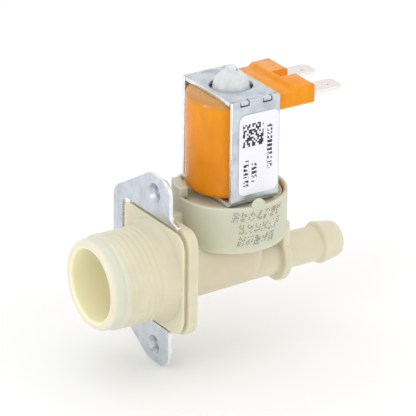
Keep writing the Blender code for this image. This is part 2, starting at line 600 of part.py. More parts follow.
def build_yoke(material):
    """U-shaped strip under and beside the coil, and the staked plate above it."""
    low, high = YOKE_Z
    outer, inner = YOKE_OUTER_Y, YOKE_OUTER_Y - YOKE_THICKNESS
    bend, inside = YOKE_BEND_RADIUS, YOKE_BEND_RADIUS - YOKE_THICKNESS
    section = filleted([
        (outer, high, 0), (inner, high, 0), (inner, low + YOKE_THICKNESS, inside),
        (-inner, low + YOKE_THICKNESS, inside), (-inner, high, 0), (-outer, high, 0),
        (-outer, low, bend), (outer, low, bend)], 4)
    west, east = COIL_X - YOKE_HALF_WIDTH, COIL_X + YOKE_HALF_WIDTH
    frame = make_object("yoke_frame", along_x(prism(section, west, east)), material)
    opening = [(0.0, low - 1.0), (YOKE_HOLE_RADIUS, low - 1.0),
               (YOKE_HOLE_RADIUS, low + 3.0), (0.0, low + 3.0)]
    combine(frame, "DIFFERENCE", on_coil_axis(turned(opening, SMALL_STEPS)))

    plate_low = high - YOKE_THICKNESS
    cover = block((west, -inner + CLEARANCE, plate_low), (east, inner - CLEARANCE, high))
    plate = make_object("yoke_top_plate", cover, material)
    reach = outer + 1.0
    for offset in (-STAKE_X, STAKE_X):
        middle = COIL_X + offset
        slot = STAKE_HALF_WIDTH + CLEARANCE
        combine(frame, "DIFFERENCE",
                block((middle - slot, -reach, plate_low - CLEARANCE), (middle + slot, reach, high + 1.0)))
        combine(plate, "UNION",
                block((middle - STAKE_HALF_WIDTH, -outer, plate_low + 0.05),
                      (middle + STAKE_HALF_WIDTH, outer, high - 0.05)))
    opening = [(0.0, high - 3.0), (YOKE_HOLE_RADIUS, high - 3.0),
               (YOKE_HOLE_RADIUS, high + 1.0), (0.0, high + 1.0)]
    combine(plate, "DIFFERENCE", on_coil_axis(turned(opening, SMALL_STEPS)))


def build_label(material):
    """Thin rating label on the yoke's front plate."""
    west, east = (COIL_X + x for x in LABEL_X)
    low, high = LABEL_Z
    outline = filleted([(east, high, LABEL_CORNER), (west, high, LABEL_CORNER),
                        (west, low, LABEL_CORNER), (east, low, LABEL_CORNER)], 4)
    back = -YOKE_OUTER_Y - 0.1
    make_object("rating_label", along_y(prism(outline, back - LABEL_THICKNESS, back)), material)


def main():
    """Build every piece of the valve."""
    clear_scene()
    body = make_material("moulded_nylon", (0.69, 0.65, 0.46), 0.5)
    dome = make_material("clear_nylon", (0.66, 0.67, 0.67), 0.35)
    inner_plastic = make_material("white_plastic", (0.7, 0.7, 0.66), 0.5)
    rubber = make_material("black_rubber", (0.02, 0.02, 0.02), 0.8)
    zinc = make_material("zinc_plated_steel", (0.48, 0.53, 0.58), 0.35, 1.0)
    steel = make_material("plunger_steel", (0.45, 0.45, 0.46), 0.3, 1.0)
    copper = make_material("enamelled_copper", (0.6, 0.2, 0.08), 0.35, 1.0)
    resin = make_material("coil_resin", (0.87, 0.34, 0.02), 0.4)
    tinned = make_material("tinned_brass", (0.76, 0.73, 0.74), 0.3, 1.0)
    paper = make_material("label_film", (0.74, 0.72, 0.83), 0.4)
    build_valve_body(body)
    build_bracket(zinc)
    build_inlet_fittings(inner_plastic, rubber)
    build_diaphragm(rubber, inner_plastic)
    build_guide_tube(dome)
    build_plunger(steel, rubber, steel)
    build_coil(inner_plastic, copper, steel, resin)
    build_terminals(tinned)
    build_yoke(zinc)
    build_label(paper)


main()
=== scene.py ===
"""Looks of a plastic solenoid water valve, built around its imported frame.

Every size below is in millimetres, in the frame's own axes: +X along the inlet with the
flow, +Z up the coil, and the origin on the inlet axis at the bracket's front face. A piece
becomes metres when it is finished, with its object at the origin.
"""
import logging
import math
import random
from dataclasses import dataclass
from enum import Enum
from typing import Iterable, Optional, Sequence

import bmesh
import bpy
from mathutils import Matrix, Vector


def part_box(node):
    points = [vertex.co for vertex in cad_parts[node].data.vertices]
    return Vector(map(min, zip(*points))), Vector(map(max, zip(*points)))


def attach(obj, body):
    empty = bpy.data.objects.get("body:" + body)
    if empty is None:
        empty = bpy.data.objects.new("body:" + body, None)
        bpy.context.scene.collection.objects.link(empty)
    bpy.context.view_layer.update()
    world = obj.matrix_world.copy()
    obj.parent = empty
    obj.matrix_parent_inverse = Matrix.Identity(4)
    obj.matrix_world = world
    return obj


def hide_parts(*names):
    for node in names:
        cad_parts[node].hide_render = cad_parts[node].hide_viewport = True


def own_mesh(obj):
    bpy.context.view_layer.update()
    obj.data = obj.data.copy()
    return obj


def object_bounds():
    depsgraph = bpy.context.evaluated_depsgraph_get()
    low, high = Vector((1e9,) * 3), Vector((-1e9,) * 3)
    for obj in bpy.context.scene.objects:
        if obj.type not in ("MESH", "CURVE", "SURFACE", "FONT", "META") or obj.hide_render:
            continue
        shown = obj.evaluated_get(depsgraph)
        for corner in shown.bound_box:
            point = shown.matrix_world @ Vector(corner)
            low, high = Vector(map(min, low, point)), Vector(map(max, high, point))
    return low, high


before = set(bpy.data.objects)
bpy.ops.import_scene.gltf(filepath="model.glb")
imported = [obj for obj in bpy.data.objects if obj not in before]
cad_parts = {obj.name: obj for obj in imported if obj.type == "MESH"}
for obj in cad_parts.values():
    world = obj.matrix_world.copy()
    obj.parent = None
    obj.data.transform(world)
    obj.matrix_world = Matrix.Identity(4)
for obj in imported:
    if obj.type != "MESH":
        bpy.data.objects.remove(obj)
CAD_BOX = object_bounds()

MM = 0.001
LOG = logging.getLogger("solenoid_valve")

Profile = Sequence[tuple[float, float]]
Corner = tuple[float, float, float]


def frame_mm(node: str) -> tuple[Vector, Vector]:
    """Give the lowest and highest corner of a frame node in millimetres.

    Args:
        node: the node's name.

    Returns:
        The two corners.
    """
    low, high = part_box(node)
    return Vector(low) / MM, Vector(high) / MM


LABEL_LOW, LABEL_HIGH = frame_mm("rating_label")
GUIDE_LOW, GUIDE_HIGH = frame_mm("guide_tube")
BODY_LOW, BODY_HIGH = frame_mm("valve_body")
COIL_X = (GUIDE_LOW.x + GUIDE_HIGH.x) / 2


class Body(Enum):
    """Rigid bodies of the frame that a piece can ride on."""

    VALVE = "valve"
    PLUNGER = "plunger"
    DIAPHRAGM = "diaphragm"


class Joining(Enum):
    """How one solid changes another."""

    JOIN = "UNION"
    CUT = "DIFFERENCE"


class Axis(Enum):
    """Direction in which a solid made upright is laid."""

    UP = "Z"
    FLOW = "X"
    ACROSS = "Y"


# ---------------------------------------------------------------- materials


def linear(code: str) -> tuple[float, float, float, float]:
    """Turn an sRGB hex colour into linear values with full alpha.

    Args:
        code: six hex digits.

    Returns:
        Red, green, blue and alpha.
    """
    channels = [int(code[start:start + 2], 16) / 255 for start in (0, 2, 4)]
    values = [c / 12.92 if c <= 0.04045 else ((c + 0.055) / 1.055) ** 2.4 for c in channels]
    return (*values, 1.0)


def add_node(tree: bpy.types.NodeTree, kind: str, inputs: Optional[dict] = None,
             **settings: object) -> bpy.types.Node:
    """Add a shader node with its settings, values and links.

    Args:
        tree: the material's node tree.
        kind: the node's type name.
        inputs: values or output sockets by input name or index.
        settings: properties of the node itself.

    Returns:
        The new node.
    """
    node = tree.nodes.new(kind)
    for name, value in settings.items():
        setattr(node, name, value)
    for name, value in (inputs or {}).items():
        if isinstance(value, bpy.types.NodeSocket):
            tree.links.new(value, node.inputs[name])
        else:
            node.inputs[name].default_value = value
    return node


def new_material(name: str) -> tuple[bpy.types.Material, bpy.types.NodeTree, bpy.types.Node]:
    """Make an empty Principled material.

    Args:
        name: the finish it stands for.

    Returns:
        The material, its tree and its Principled node.
    """
    material = bpy.data.materials.new(name)
    material.use_nodes = True
    tree = material.node_tree
    return material, tree, tree.nodes["Principled BSDF"]


def object_place(tree: bpy.types.NodeTree) -> bpy.types.NodeSocket:
    """Add a Texture Coordinate node and give its Object output.

    Args:
        tree: the material's node tree.

    Returns:
        The coordinates.
    """
    return add_node(tree, "ShaderNodeTexCoord").outputs["Object"]


def noise(tree: bpy.types.NodeTree, place: bpy.types.NodeSocket, size_mm: float, detail: float = 3.0,
          stretch: Sequence[float] = (1.0, 1.0, 1.0)) -> bpy.types.NodeSocket:
    """Add a noise pattern whose blotches are about size_mm across.

    Args:
        tree: the material's node tree.
        place: the coordinates it reads.
        size_mm: width of one blotch in millimetres.
        detail: finer octaves of the pattern.
        stretch: how much longer than size_mm a blotch is along each axis.

    Returns:
        The pattern's value socket.
    """
    scale = tuple(1.0 / (size_mm * MM * s) for s in stretch)
    mapped = add_node(tree, "ShaderNodeMapping", {"Vector": place, "Scale": scale})
    return add_node(tree, "ShaderNodeTexNoise", {"Vector": mapped.outputs[0], "Scale": 1.0,
                                                 "Detail": detail}).outputs[0]


def between(tree: bpy.types.NodeTree, value: bpy.types.NodeSocket, source: tuple[float, float],
            target: tuple[float, float]) -> bpy.types.NodeSocket:
    """Map a value from one range to another, clamped.

    Args:
        tree: the material's node tree.
        value: the socket to map.
        source: range it has.
        target: range it gets.

    Returns:
        The mapped socket.
    """
    return add_node(tree, "ShaderNodeMapRange", {
        "Value": value, "From Min": source[0], "From Max": source[1],
        "To Min": target[0], "To Max": target[1]}).outputs[0]


def multiply(tree: bpy.types.NodeTree, *values: bpy.types.NodeSocket) -> bpy.types.NodeSocket:
    """Multiply several masks.

    Args:
        tree: the material's node tree.
        values: the masks.

    Returns:
        Their product.
    """
    result = values[0]
    for value in values[1:]:
        result = add_node(tree, "ShaderNodeMath", {0: result, 1: value}, operation="MULTIPLY").outputs[0]
    return result


def blend_colours(tree: bpy.types.NodeTree, factor: bpy.types.NodeSocket, first: object,
                  second: object) -> bpy.types.NodeSocket:
    """Mix two colours, each a hex code or a socket.

    Args:
        tree: the material's node tree.
        factor: how much of the second shows.
        first: the colour at 0.
        second: the colour at 1.

    Returns:
        The mixed colour's socket.
    """
    mix = add_node(tree, "ShaderNodeMix", {0: factor}, data_type="RGBA")
    for index, colour in ((6, first), (7, second)):
        if isinstance(colour, str):
            mix.inputs[index].default_value = linear(colour)
        else:
            tree.links.new(colour, mix.inputs[index])
    return mix.outputs[2]


def add_bump(tree: bpy.types.NodeTree, shader: bpy.types.Node, height: bpy.types.NodeSocket,
             depth_mm: float, strength: float = 1.0) -> None:
    """Give a shader a bumpy surface.

    Args:
        tree: the material's node tree.
        shader: the Principled node.
        height: the height pattern, 0 to 1.
        depth_mm: height of a full step in millimetres.
        strength: share of the bump that is used.
    """
    bump = add_node(tree, "ShaderNodeBump", {"Height": height, "Distance": depth_mm * MM,
                                             "Strength": strength})
    tree.links.new(bump.outputs[0], shader.inputs["Normal"])


@dataclass(frozen=True)
class MouldedNylon:
    """Natural polyamide, injection moulded: waxy, cream, light sinks in a millimetre or two."""

    name: str = "natural_nylon"
    warm: str = "DED8C0"
    cool: str = "CDD0BC"
    # painted shade: rosy tone for the chamber's underside beneath the cup
    chamber_shade: str = "D9C9B2"
    lead: str = "D9DCCB"
    lip: str = "E9E2CF"
    # painted light: paler colour for the inlet bore's inner wall
    bore: str = "FBF4D2"
    cloud: str = "CFC9A9"
    roughness: float = 0.42
    glow: float = 0.55
    glow_depth_mm: float = 2.2

    def material(self) -> bpy.types.Material:
        """Build the material: cooler on the cup, rosier low on the chamber as painted shade under the cup,
        paler in the bore as painted light.

        Returns:
            The material.
        """
        material, tree, shader = new_material(self.name)
        place = object_place(tree)
        split = add_node(tree, "ShaderNodeSeparateXYZ", {0: place})
        cup = between(tree, split.outputs[2], (4.5 * MM, 8.0 * MM), (0.0, 1.0))
        behind_spout = between(tree, split.outputs[0], (4.0 * MM, 9.0 * MM), (0.0, 1.0))
        cup_only = multiply(tree, cup, behind_spout)
        # Painted shade: low on the chamber, under the cup, the colour turns rosier.
        low = between(tree, split.outputs[2], (5.5 * MM, 2.0 * MM), (0.0, 0.75))
        before_outlet = between(tree, split.outputs[0], (33.0 * MM, 26.0 * MM), (0.0, 1.0))
        chamber = multiply(tree, low, behind_spout, before_outlet)
        tinted = blend_colours(tree, cup_only, self.warm, self.cool)
        tinted = blend_colours(tree, chamber, tinted, self.chamber_shade)
        clouds = between(tree, noise(tree, place, 5.0), (0.35, 0.65), (0.0, 0.35))
        tinted = blend_colours(tree, clouds, tinted, self.cloud)
        lead = between(tree, split.outputs[0], (-14.5 * MM, -16.5 * MM), (0.0, 0.8))
        tinted = blend_colours(tree, lead, tinted, self.lead)
        lip = between(tree, split.outputs[0], (-18.8 * MM, -20.0 * MM), (0.0, 0.9))
        tinted = blend_colours(tree, lip, tinted, self.lip)
        # Painted light: the inlet bore's wall, up to the flanges, is made paler than the rest.
        outward = add_node(tree, "ShaderNodeVectorMath", {0: place, 1: (0.0, 1.0, 1.0)},
                           operation="MULTIPLY").outputs[0]
        radius = add_node(tree, "ShaderNodeVectorMath", {0: outward}, operation="LENGTH").outputs["Value"]
        inside = between(tree, radius, (11.0 * MM, 10.4 * MM), (0.0, 1.0))
        before_seat = between(tree, split.outputs[0], (1.0 * MM, -1.0 * MM), (0.0, 1.0))
        tinted = blend_colours(tree, multiply(tree, inside, before_seat), tinted, self.bore)
        tree.links.new(tinted, shader.inputs["Base Color"])
        gloss = between(tree, noise(tree, place, 2.2), (0.3, 0.7),
                        (self.roughness - 0.07, self.roughness + 0.1))
        tree.links.new(gloss, shader.inputs["Roughness"])
        shader.inputs["IOR"].default_value = 1.53
        shader.inputs["Subsurface Weight"].default_value = self.glow
        shader.inputs["Subsurface Radius"].default_value = (1.0, 0.82, 0.55)
        shader.inputs["Subsurface Scale"].default_value = self.glow_depth_mm * MM
        grain = noise(tree, place, 0.35, 4.0)
        add_bump(tree, shader, grain, 0.012)
        return material


@dataclass(frozen=True)
class ClearNylon:
    """Unfilled white nylon, thin and translucent, as on the armature guide's tip."""

    name: str = "translucent_nylon"
    pale: str = "E2E4E4"
    shade: str = "CFD2D3"
    foot: str = "D6D0B8"
    roughness: float = 0.34

    def material(self) -> bpy.types.Material:
        """Build the material with soft milky clouds, creamier where it is thick at the foot.

        Returns:
            The material.
        """
        material, tree, shader = new_material(self.name)
        place = object_place(tree)
        milk = between(tree, noise(tree, place, 1.8), (0.3, 0.7), (0.0, 1.0))
        split = add_node(tree, "ShaderNodeSeparateXYZ", {0: place})
        thick = between(tree, split.outputs[2], (24.0 * MM, 20.0 * MM), (0.0, 1.0))
        milky = blend_colours(tree, milk, self.pale, self.shade)
        tree.links.new(blend_colours(tree, thick, milky, self.foot), shader.inputs["Base Color"])
        tree.links.new(between(tree, milk, (0.0, 1.0), (self.roughness - 0.05, self.roughness + 0.1)),
                       shader.inputs["Roughness"])
        shader.inputs["IOR"].default_value = 1.53
        shader.inputs["Subsurface Weight"].default_value = 0.6
        shader.inputs["Subsurface Radius"].default_value = (1.0, 1.0, 0.95)
        shader.inputs["Subsurface Scale"].default_value = 1.4 * MM
        add_bump(tree, shader, noise(tree, place, 0.3), 0.01)
        return material


@dataclass(frozen=True)
class CoilResin:
    """Orange coil resin, moulded: semi-gloss, slightly cloudy, deeper amber towards the bottom."""

    name: str = "orange_coil_resin"
    bright: str = "F39C00"
    deep: str = "DA7E00"
    # painted shadow: tan-brown for the shoulder beneath the yoke's top plate
    shoulder_shadow: str = "B98F55"
    roughness: float = 0.24

    def material(self) -> bpy.types.Material:
        """Build the material with faint upright flow marks from moulding, and a painted shadow of the
        yoke's top plate on the shoulder.

        Returns:
            The material.
        """
        material, tree, shader = new_material(self.name)
        place = object_place(tree)
        flow = between(tree, noise(tree, place, 2.6, 4.0, (1.0, 1.0, 3.5)), (0.32, 0.68), (0.0, 1.0))
        split = add_node(tree, "ShaderNodeSeparateXYZ", {0: place})
        height = between(tree, split.outputs[2], (20.0 * MM, 48.0 * MM), (0.55, 0.0))
        faint = between(tree, flow, (0.0, 1.0), (0.0, 0.45))
        factor = add_node(tree, "ShaderNodeMath", {0: faint, 1: height}, operation="ADD",
                          use_clamp=True).outputs[0]
        body = blend_colours(tree, factor, self.bright, self.deep)
        # Painted shadow of the yoke's top plate: the shoulder turns tan-brown, away from the terminal
        # block.
        near_top = between(tree, split.outputs[2], (45.8 * MM, 47.2 * MM), (0.0, 0.75))
        off_block = between(tree, split.outputs[0], ((COIL_X + 8.5) * MM, (COIL_X + 7.0) * MM), (0.0, 1.0))
        plate_shadow = multiply(tree, near_top, off_block)
        tree.links.new(blend_colours(tree, plate_shadow, body, self.shoulder_shadow), shader.inputs["Base Color"])
        tree.links.new(between(tree, flow, (0.0, 1.0), (self.roughness - 0.06, self.roughness + 0.1)),
                       shader.inputs["Roughness"])
        shader.inputs["IOR"].default_value = 1.49
        shader.inputs["Specular IOR Level"].default_value = 0.32
        shader.inputs["Subsurface Weight"].default_value = 0.18
        shader.inputs["Subsurface Radius"].default_value = (1.0, 0.45, 0.12)
        shader.inputs["Subsurface Scale"].default_value = 1.2 * MM
        add_bump(tree, shader, noise(tree, place, 0.9, 4.0, (1.0, 1.0, 2.5)), 0.02)
        return material


@dataclass(frozen=True)
class ZincPlatedSteel:
    """Bright zinc on pressed strip: bluish grey, rolled grain, soft reflections."""

    name: str = "zinc_plated_steel"
    light: str = "CFD4DC"
    dull: str = "B2B9C3"
    roughness: float = 0.34
    grain_mm: float = 0.5

    def material(self) -> bpy.types.Material:
        """Build the material with rolling lines, fine crystals and a few dull spots.

        Returns:
            The material.
        """
        material, tree, shader = new_material(self.name)
        place = object_place(tree)
        lines = noise(tree, place, self.grain_mm, 3.0, (1.0, 1.0, 12.0))
        crystals = noise(tree, place, 0.8, 5.0)
        patches = between(tree, noise(tree, place, 4.0, 4.0), (0.38, 0.66), (0.0, 1.0))
        streaks = between(tree, lines, (0.3, 0.7), (0.35, 0.85))
        mixed = multiply(tree, streaks, patches)
        tree.links.new(blend_colours(tree, mixed, self.light, self.dull), shader.inputs["Base Color"])
        shader.inputs["Metallic"].default_value = 0.85
        tree.links.new(between(tree, crystals, (0.3, 0.7), (self.roughness - 0.08, self.roughness + 0.12)),
                       shader.inputs["Roughness"])
        add_bump(tree, shader, crystals, 0.01)
        return material


@dataclass(frozen=True)
class PlainMetal:
    """A turned, drawn or plated metal: base colour, roughness and fine tool lines."""

    name: str
    light: str
    dull: str
    roughness: float
    line_mm: float = 0.2

    def material(self) -> bpy.types.Material:
        """Build the material with tool lines round or along the piece.

        Returns:
            The material.
        """
        material, tree, shader = new_material(self.name)
        place = object_place(tree)
        lines = noise(tree, place, self.line_mm, 2.0, (8.0, 8.0, 1.0))
        tree.links.new(blend_colours(tree, lines, self.light, self.dull), shader.inputs["Base Color"])
        shader.inputs["Metallic"].default_value = 1.0
        tree.links.new(between(tree, lines, (0.3, 0.7), (self.roughness - 0.06, self.roughness + 0.08)),
                       shader.inputs["Roughness"])
        add_bump(tree, shader, lines, 0.006)
        return material


@dataclass(frozen=True)
class PlainPolymer:
    """A hidden moulding or rubber: one colour, clouded, with a fine moulded grain."""

    name: str
    pale: str
    shade: str
    roughness: float
    ior: float = 1.5

    def material(self) -> bpy.types.Material:
        """Build the material with small clouds in its colour and gloss.

        Returns:
            The material.
        """
        material, tree, shader = new_material(self.name)
        place = object_place(tree)
        clouds = between(tree, noise(tree, place, 1.5), (0.3, 0.7), (0.0, 1.0))
        tree.links.new(blend_colours(tree, clouds, self.pale, self.shade), shader.inputs["Base Color"])
        tree.links.new(between(tree, clouds, (0.0, 1.0), (self.roughness - 0.06, self.roughness + 0.08)),
                       shader.inputs["Roughness"])
        shader.inputs["IOR"].default_value = self.ior
        add_bump(tree, shader, noise(tree, place, 0.25), 0.01)
        return material


@dataclass(frozen=True)
class PrintedFilm:
    """Pale polyester label film with a block of code cells and three rows of plain marks."""

    name: str = "printed_label_film"
    film: str = "F4F3FB"
    film_shade: str = "EAE8F4"
    ink: str = "1D1C24"
    code_centre: tuple[float, float] = (COIL_X - 1.0, 39.0)
    code_half: float = 3.3
    cell_mm: float = 0.55
    letter_pitch: float = 1.15
    letter_length: float = 0.8
    row_half: float = 0.82

    def window(self, tree: bpy.types.NodeTree, value: bpy.types.NodeSocket, centre: float,
               half: float) -> bpy.types.NodeSocket:
        """Give 1 where a coordinate lies within half of centre, both in millimetres.

        Args:
            tree: the material's node tree.
            value: the coordinate.
            centre: middle of the window.
            half: half its width.

        Returns:
            The mask.
        """
        return add_node(tree, "ShaderNodeMath", {0: value, 1: centre * MM, 2: half * MM},
                        operation="COMPARE").outputs[0]

    def cells(self, tree: bpy.types.NodeTree, place: bpy.types.NodeSocket, width: float, height: float,
              share: float) -> bpy.types.NodeSocket:
        """Fill a grid of cells at random, a share of them with ink.

        Args:
            tree: the material's node tree.
            place: the coordinates it reads.
            width: width of a cell in millimetres.
            height: height of a cell in millimetres.
            share: share of the cells that hold ink.

        Returns:
            The mask.
        """
        per_metre = (1 / (width * MM), 0.0, 1 / (height * MM))
        scaled = add_node(tree, "ShaderNodeVectorMath", {0: place, 1: per_metre},
                          operation="MULTIPLY").outputs[0]
        whole = add_node(tree, "ShaderNodeVectorMath", {0: scaled}, operation="FLOOR").outputs[0]
        chance = add_node(tree, "ShaderNodeTexWhiteNoise", {0: whole}, noise_dimensions="3D").outputs[0]
        return add_node(tree, "ShaderNodeMath", {0: chance, 1: share}, operation="LESS_THAN").outputs[0]

    def row(self, tree: bpy.types.NodeTree, place: bpy.types.NodeSocket, axes: tuple, x: float, z: float,
            length: float) -> bpy.types.NodeSocket:
        """One upright row of broken marks, evenly spaced like print.

        Args:
            tree: the material's node tree.
            place: the coordinates it reads.
            axes: the coordinates across and up.
            x: middle of the row across.
            z: middle of the row up.
            length: how long the row is.

        Returns:
            The mask.
        """
        across, up = axes
        pitch = add_node(tree, "ShaderNodeMath", {0: up, 1: self.letter_pitch * MM},
                         operation="MODULO").outputs[0]
        gap = add_node(tree, "ShaderNodeMath", {0: pitch, 1: self.letter_length * MM},
                       operation="LESS_THAN").outputs[0]
        marks = self.cells(tree, place, 0.5, 0.42, 0.64)
        return multiply(tree, self.window(tree, across, x, self.row_half),
                        self.window(tree, up, z, length / 2), gap, marks)

    def material(self) -> bpy.types.Material:
        """Build the film with its print.

        Returns:
            The material.
        """
        material, tree, shader = new_material(self.name)
        place = object_place(tree)
        split = add_node(tree, "ShaderNodeSeparateXYZ", {0: place})
        axes = (split.outputs[0], split.outputs[2])
        masks = [multiply(tree, self.window(tree, axes[0], self.code_centre[0], self.code_half),
                              self.window(tree, axes[1], self.code_centre[1], self.code_half),
                              self.cells(tree, place, self.cell_mm, self.cell_mm, 0.5)),
                 self.row(tree, place, axes, COIL_X - 3.1, 28.0, 8.0),
                 self.row(tree, place, axes, COIL_X - 0.5, 27.9, 5.6),
                 self.row(tree, place, axes, COIL_X + 4.3, 34.8, 13.0)]
        ink = masks[0]
        for mask in masks[1:]:
            ink = add_node(tree, "ShaderNodeMath", {0: ink, 1: mask}, operation="MAXIMUM").outputs[0]
        clouds = between(tree, noise(tree, place, 7.0), (0.3, 0.7), (0.0, 0.4))
        paper = blend_colours(tree, clouds, self.film, self.film_shade)
        tree.links.new(blend_colours(tree, ink, paper, self.ink), shader.inputs["Base Color"])
        tree.links.new(between(tree, ink, (0.0, 1.0), (0.38, 0.55)), shader.inputs["Roughness"])
        shader.inputs["IOR"].default_value = 1.57
        shader.inputs["Coat Weight"].default_value = 0.15
        add_bump(tree, shader, noise(tree, place, 0.6), 0.004)
        return material


# ------------------------------------------------------------ mesh workshop


def revolve(profile: Profile, steps: int = 96, phase: float = 0.0) -> bmesh.types.BMesh:
    """Spin (radius, height) points round Z into a closed solid.

    Args:
        profile: points from axis to axis, or a ring that closes on itself.
        steps: facets in the full turn.
        phase: degrees by which the first facet is turned.

    Returns:
        The solid, in millimetres.
    """
    bm = bmesh.new()
    turn = math.radians(phase)
    verts = [bm.verts.new((r * math.cos(turn), r * math.sin(turn), z)) for r, z in profile]
    edges = [bm.edges.new(pair) for pair in zip(verts, verts[1:])]
    if profile[0][0] > 0 or profile[-1][0] > 0:
        edges.append(bm.edges.new((verts[-1], verts[0])))
    bmesh.ops.spin(bm, geom=verts + edges, cent=(0, 0, 0), axis=(0, 0, 1), angle=math.tau,
                   steps=steps, use_merge=True)
    bmesh.ops.remove_doubles(bm, verts=bm.verts, dist=0.0005)
    bmesh.ops.recalc_face_normals(bm, faces=bm.faces)
    return bm


def slab(corners: Sequence[Corner], low: float, high: float, segments: int = 8) -> bmesh.types.BMesh:
    """Raise an outline of (x, y, radius) corners into a plate with rounded corners.

    Args:
        corners: outline points, each with the radius of its rounding.
        low: height of the lower face.
        high: height of the upper face.
        segments: facets in each rounding.

    Returns:
        The plate, in millimetres.
    """
    bm = bmesh.new()
    verts = [bm.verts.new((x, y, low)) for x, y, _ in corners]
    face = bm.faces.new(verts)
    grown = bmesh.ops.extrude_face_region(bm, geom=[face])["geom"]
    raised = [g for g in grown if isinstance(g, bmesh.types.BMVert)]
    bmesh.ops.translate(bm, verts=raised, vec=(0, 0, high - low))
    for index, (x, y, radius) in enumerate(corners):
        if radius <= 0:
            continue
        here = Vector((x, y))
        before = Vector(corners[index - 1][:2]) - here
        after = Vector(corners[(index + 1) % len(corners)][:2]) - here
        reach = radius / math.tan(before.angle(after) / 2)
        upright = [e for e in bm.edges if all((v.co.xy - here).length < 0.001 for v in e.verts)]
        bmesh.ops.bevel(bm, geom=upright, offset=reach, offset_type="OFFSET", segments=segments,
                        profile=0.5, affect="EDGES", material=-1)
    bmesh.ops.recalc_face_normals(bm, faces=bm.faces)
    return bm


def soften(bm: bmesh.types.BMesh, width: float, segments: int = 2,
           sharper_than: float = 50.0) -> bmesh.types.BMesh:
    """Round a solid's sharp edges.

    Args:
        bm: the solid, changed in place.
        width: width of the rounding in millimetres.
        segments: facets across it.
        sharper_than: angle in degrees from which an edge counts as sharp.

    Returns:
        The same solid.
    """
    limit = math.radians(sharper_than)
    edges = [e for e in bm.edges if len(e.link_faces) == 2 and e.calc_face_angle() > limit]
    bmesh.ops.bevel(bm, geom=edges, offset=width, offset_type="OFFSET", segments=segments, profile=0.5,
                    affect="EDGES", material=-1, clamp_overlap=True)
    return bm


def lay(bm: bmesh.types.BMesh, axis: Axis, offset: Sequence[float] = (0.0, 0.0, 0.0)) -> bmesh.types.BMesh:
    """Turn an upright solid onto an axis and move it.

    Args:
        bm: the solid, changed in place.
        axis: FLOW turns x, y, z into Y, Z, X; ACROSS keeps x and turns y up.
        offset: move in millimetres, after the turn.

    Returns:
        The same solid.
    """
    if axis is Axis.FLOW:
        bm.transform(Matrix(((0, 0, 1, 0), (1, 0, 0, 0), (0, 1, 0, 0), (0, 0, 0, 1))))
    elif axis is Axis.ACROSS:
        bm.transform(Matrix(((1, 0, 0, 0), (0, 0, 1, 0), (0, 1, 0, 0), (0, 0, 0, 1))))
        bmesh.ops.reverse_faces(bm, faces=bm.faces)
    bmesh.ops.translate(bm, verts=bm.verts, vec=offset)
    return bm


def upright(bm: bmesh.types.BMesh) -> bmesh.types.BMesh:
    """Stand a solid on the coil axis.

    Args:
        bm: the solid, changed in place.

    Returns:
        The same solid.
    """
    return lay(bm, Axis.UP, (COIL_X, 0.0, 0.0))


def box(low: Sequence[float], high: Sequence[float], round_edges: float = 0.0) -> bmesh.types.BMesh:
    """Make a box between two corners, with its edges rounded if asked.

    Args:
        low: lowest corner.
        high: highest corner.
        round_edges: width of the rounding, in millimetres.

    Returns:
        The box.
    """
    bm = bmesh.new()
    size = Vector(high) - Vector(low)
    middle = (Vector(high) + Vector(low)) / 2
    bmesh.ops.create_cube(bm, size=1.0, matrix=Matrix.Translation(middle) @ Matrix.Diagonal((*size, 1.0)))
    return soften(bm, round_edges) if round_edges else bm


def arc(centre: tuple[float, float], radius: float, start: float, end: float, steps: int = 6) -> list:
    """Points of an arc about a centre, with angles in degrees.

    Args:
        centre: centre of the arc.
        radius: its radius.
        start: first angle.
        end: last angle.
        steps: facets in it.

    Returns:
        Its points.
    """
    turns = [math.radians(start + (end - start) * step / steps) for step in range(steps + 1)]
    return [(centre[0] + radius * math.cos(t), centre[1] + radius * math.sin(t)) for t in turns]


def as_object(name: str, bm: bmesh.types.BMesh) -> bpy.types.Object:
    """Turn a millimetre solid into a mesh object in metres, at the origin.

    Args:
        name: the piece's name.
        bm: the solid, used up here.

    Returns:
        The object.
    """
    bm.transform(Matrix.Scale(MM, 4))
    mesh = bpy.data.meshes.new(name)
    bm.to_mesh(mesh)
    bm.free()
    thing = bpy.data.objects.new(name, mesh)
    bpy.context.collection.objects.link(thing)
    return thing


def shape(thing: bpy.types.Object, joining: Joining, solids: Iterable[bmesh.types.BMesh]) -> None:
    """Join solids to a piece, or cut them from it, and keep only the result.

    Args:
        thing: the piece.
        joining: whether the solids are added or taken away.
        solids: what is joined or cut, used up here.
    """
    for bm in solids:
        tool = as_object("tool", bm)
        modifier = thing.modifiers.new("shape", "BOOLEAN")
        modifier.operation = joining.value
        modifier.solver = "MANIFOLD"
        modifier.object = tool
        held = thing.evaluated_get(bpy.context.evaluated_depsgraph_get())
        result = bpy.data.meshes.new_from_object(held)
        thing.modifiers.clear()
        thing.data = result
        bpy.data.objects.remove(tool, do_unlink=True)


def finish_piece(thing: bpy.types.Object, material: bpy.types.Material, body: Body,
                 replaced: Sequence[str] = (), sharp: float = 32.0) -> bpy.types.Object:
    """Dress a piece, smooth it and tie it to the frame.

    Args:
        thing: the piece.
        material: its finish.
        body: the rigid body it moves with.
        replaced: frame nodes it stands for.
        sharp: angle in degrees above which an edge stays crisp.

    Returns:
        The same piece.
    """
    thing.data.materials.clear()
    thing.data.materials.append(material)
    thing.data.shade_smooth()
    thing.data.set_sharp_from_angle(angle=math.radians(sharp))
    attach(thing, body.value)
    if replaced:
        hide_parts(*replaced)
    LOG.info("%s: %d faces on %s", thing.name, len(thing.data.polygons), body.value)
    return thing


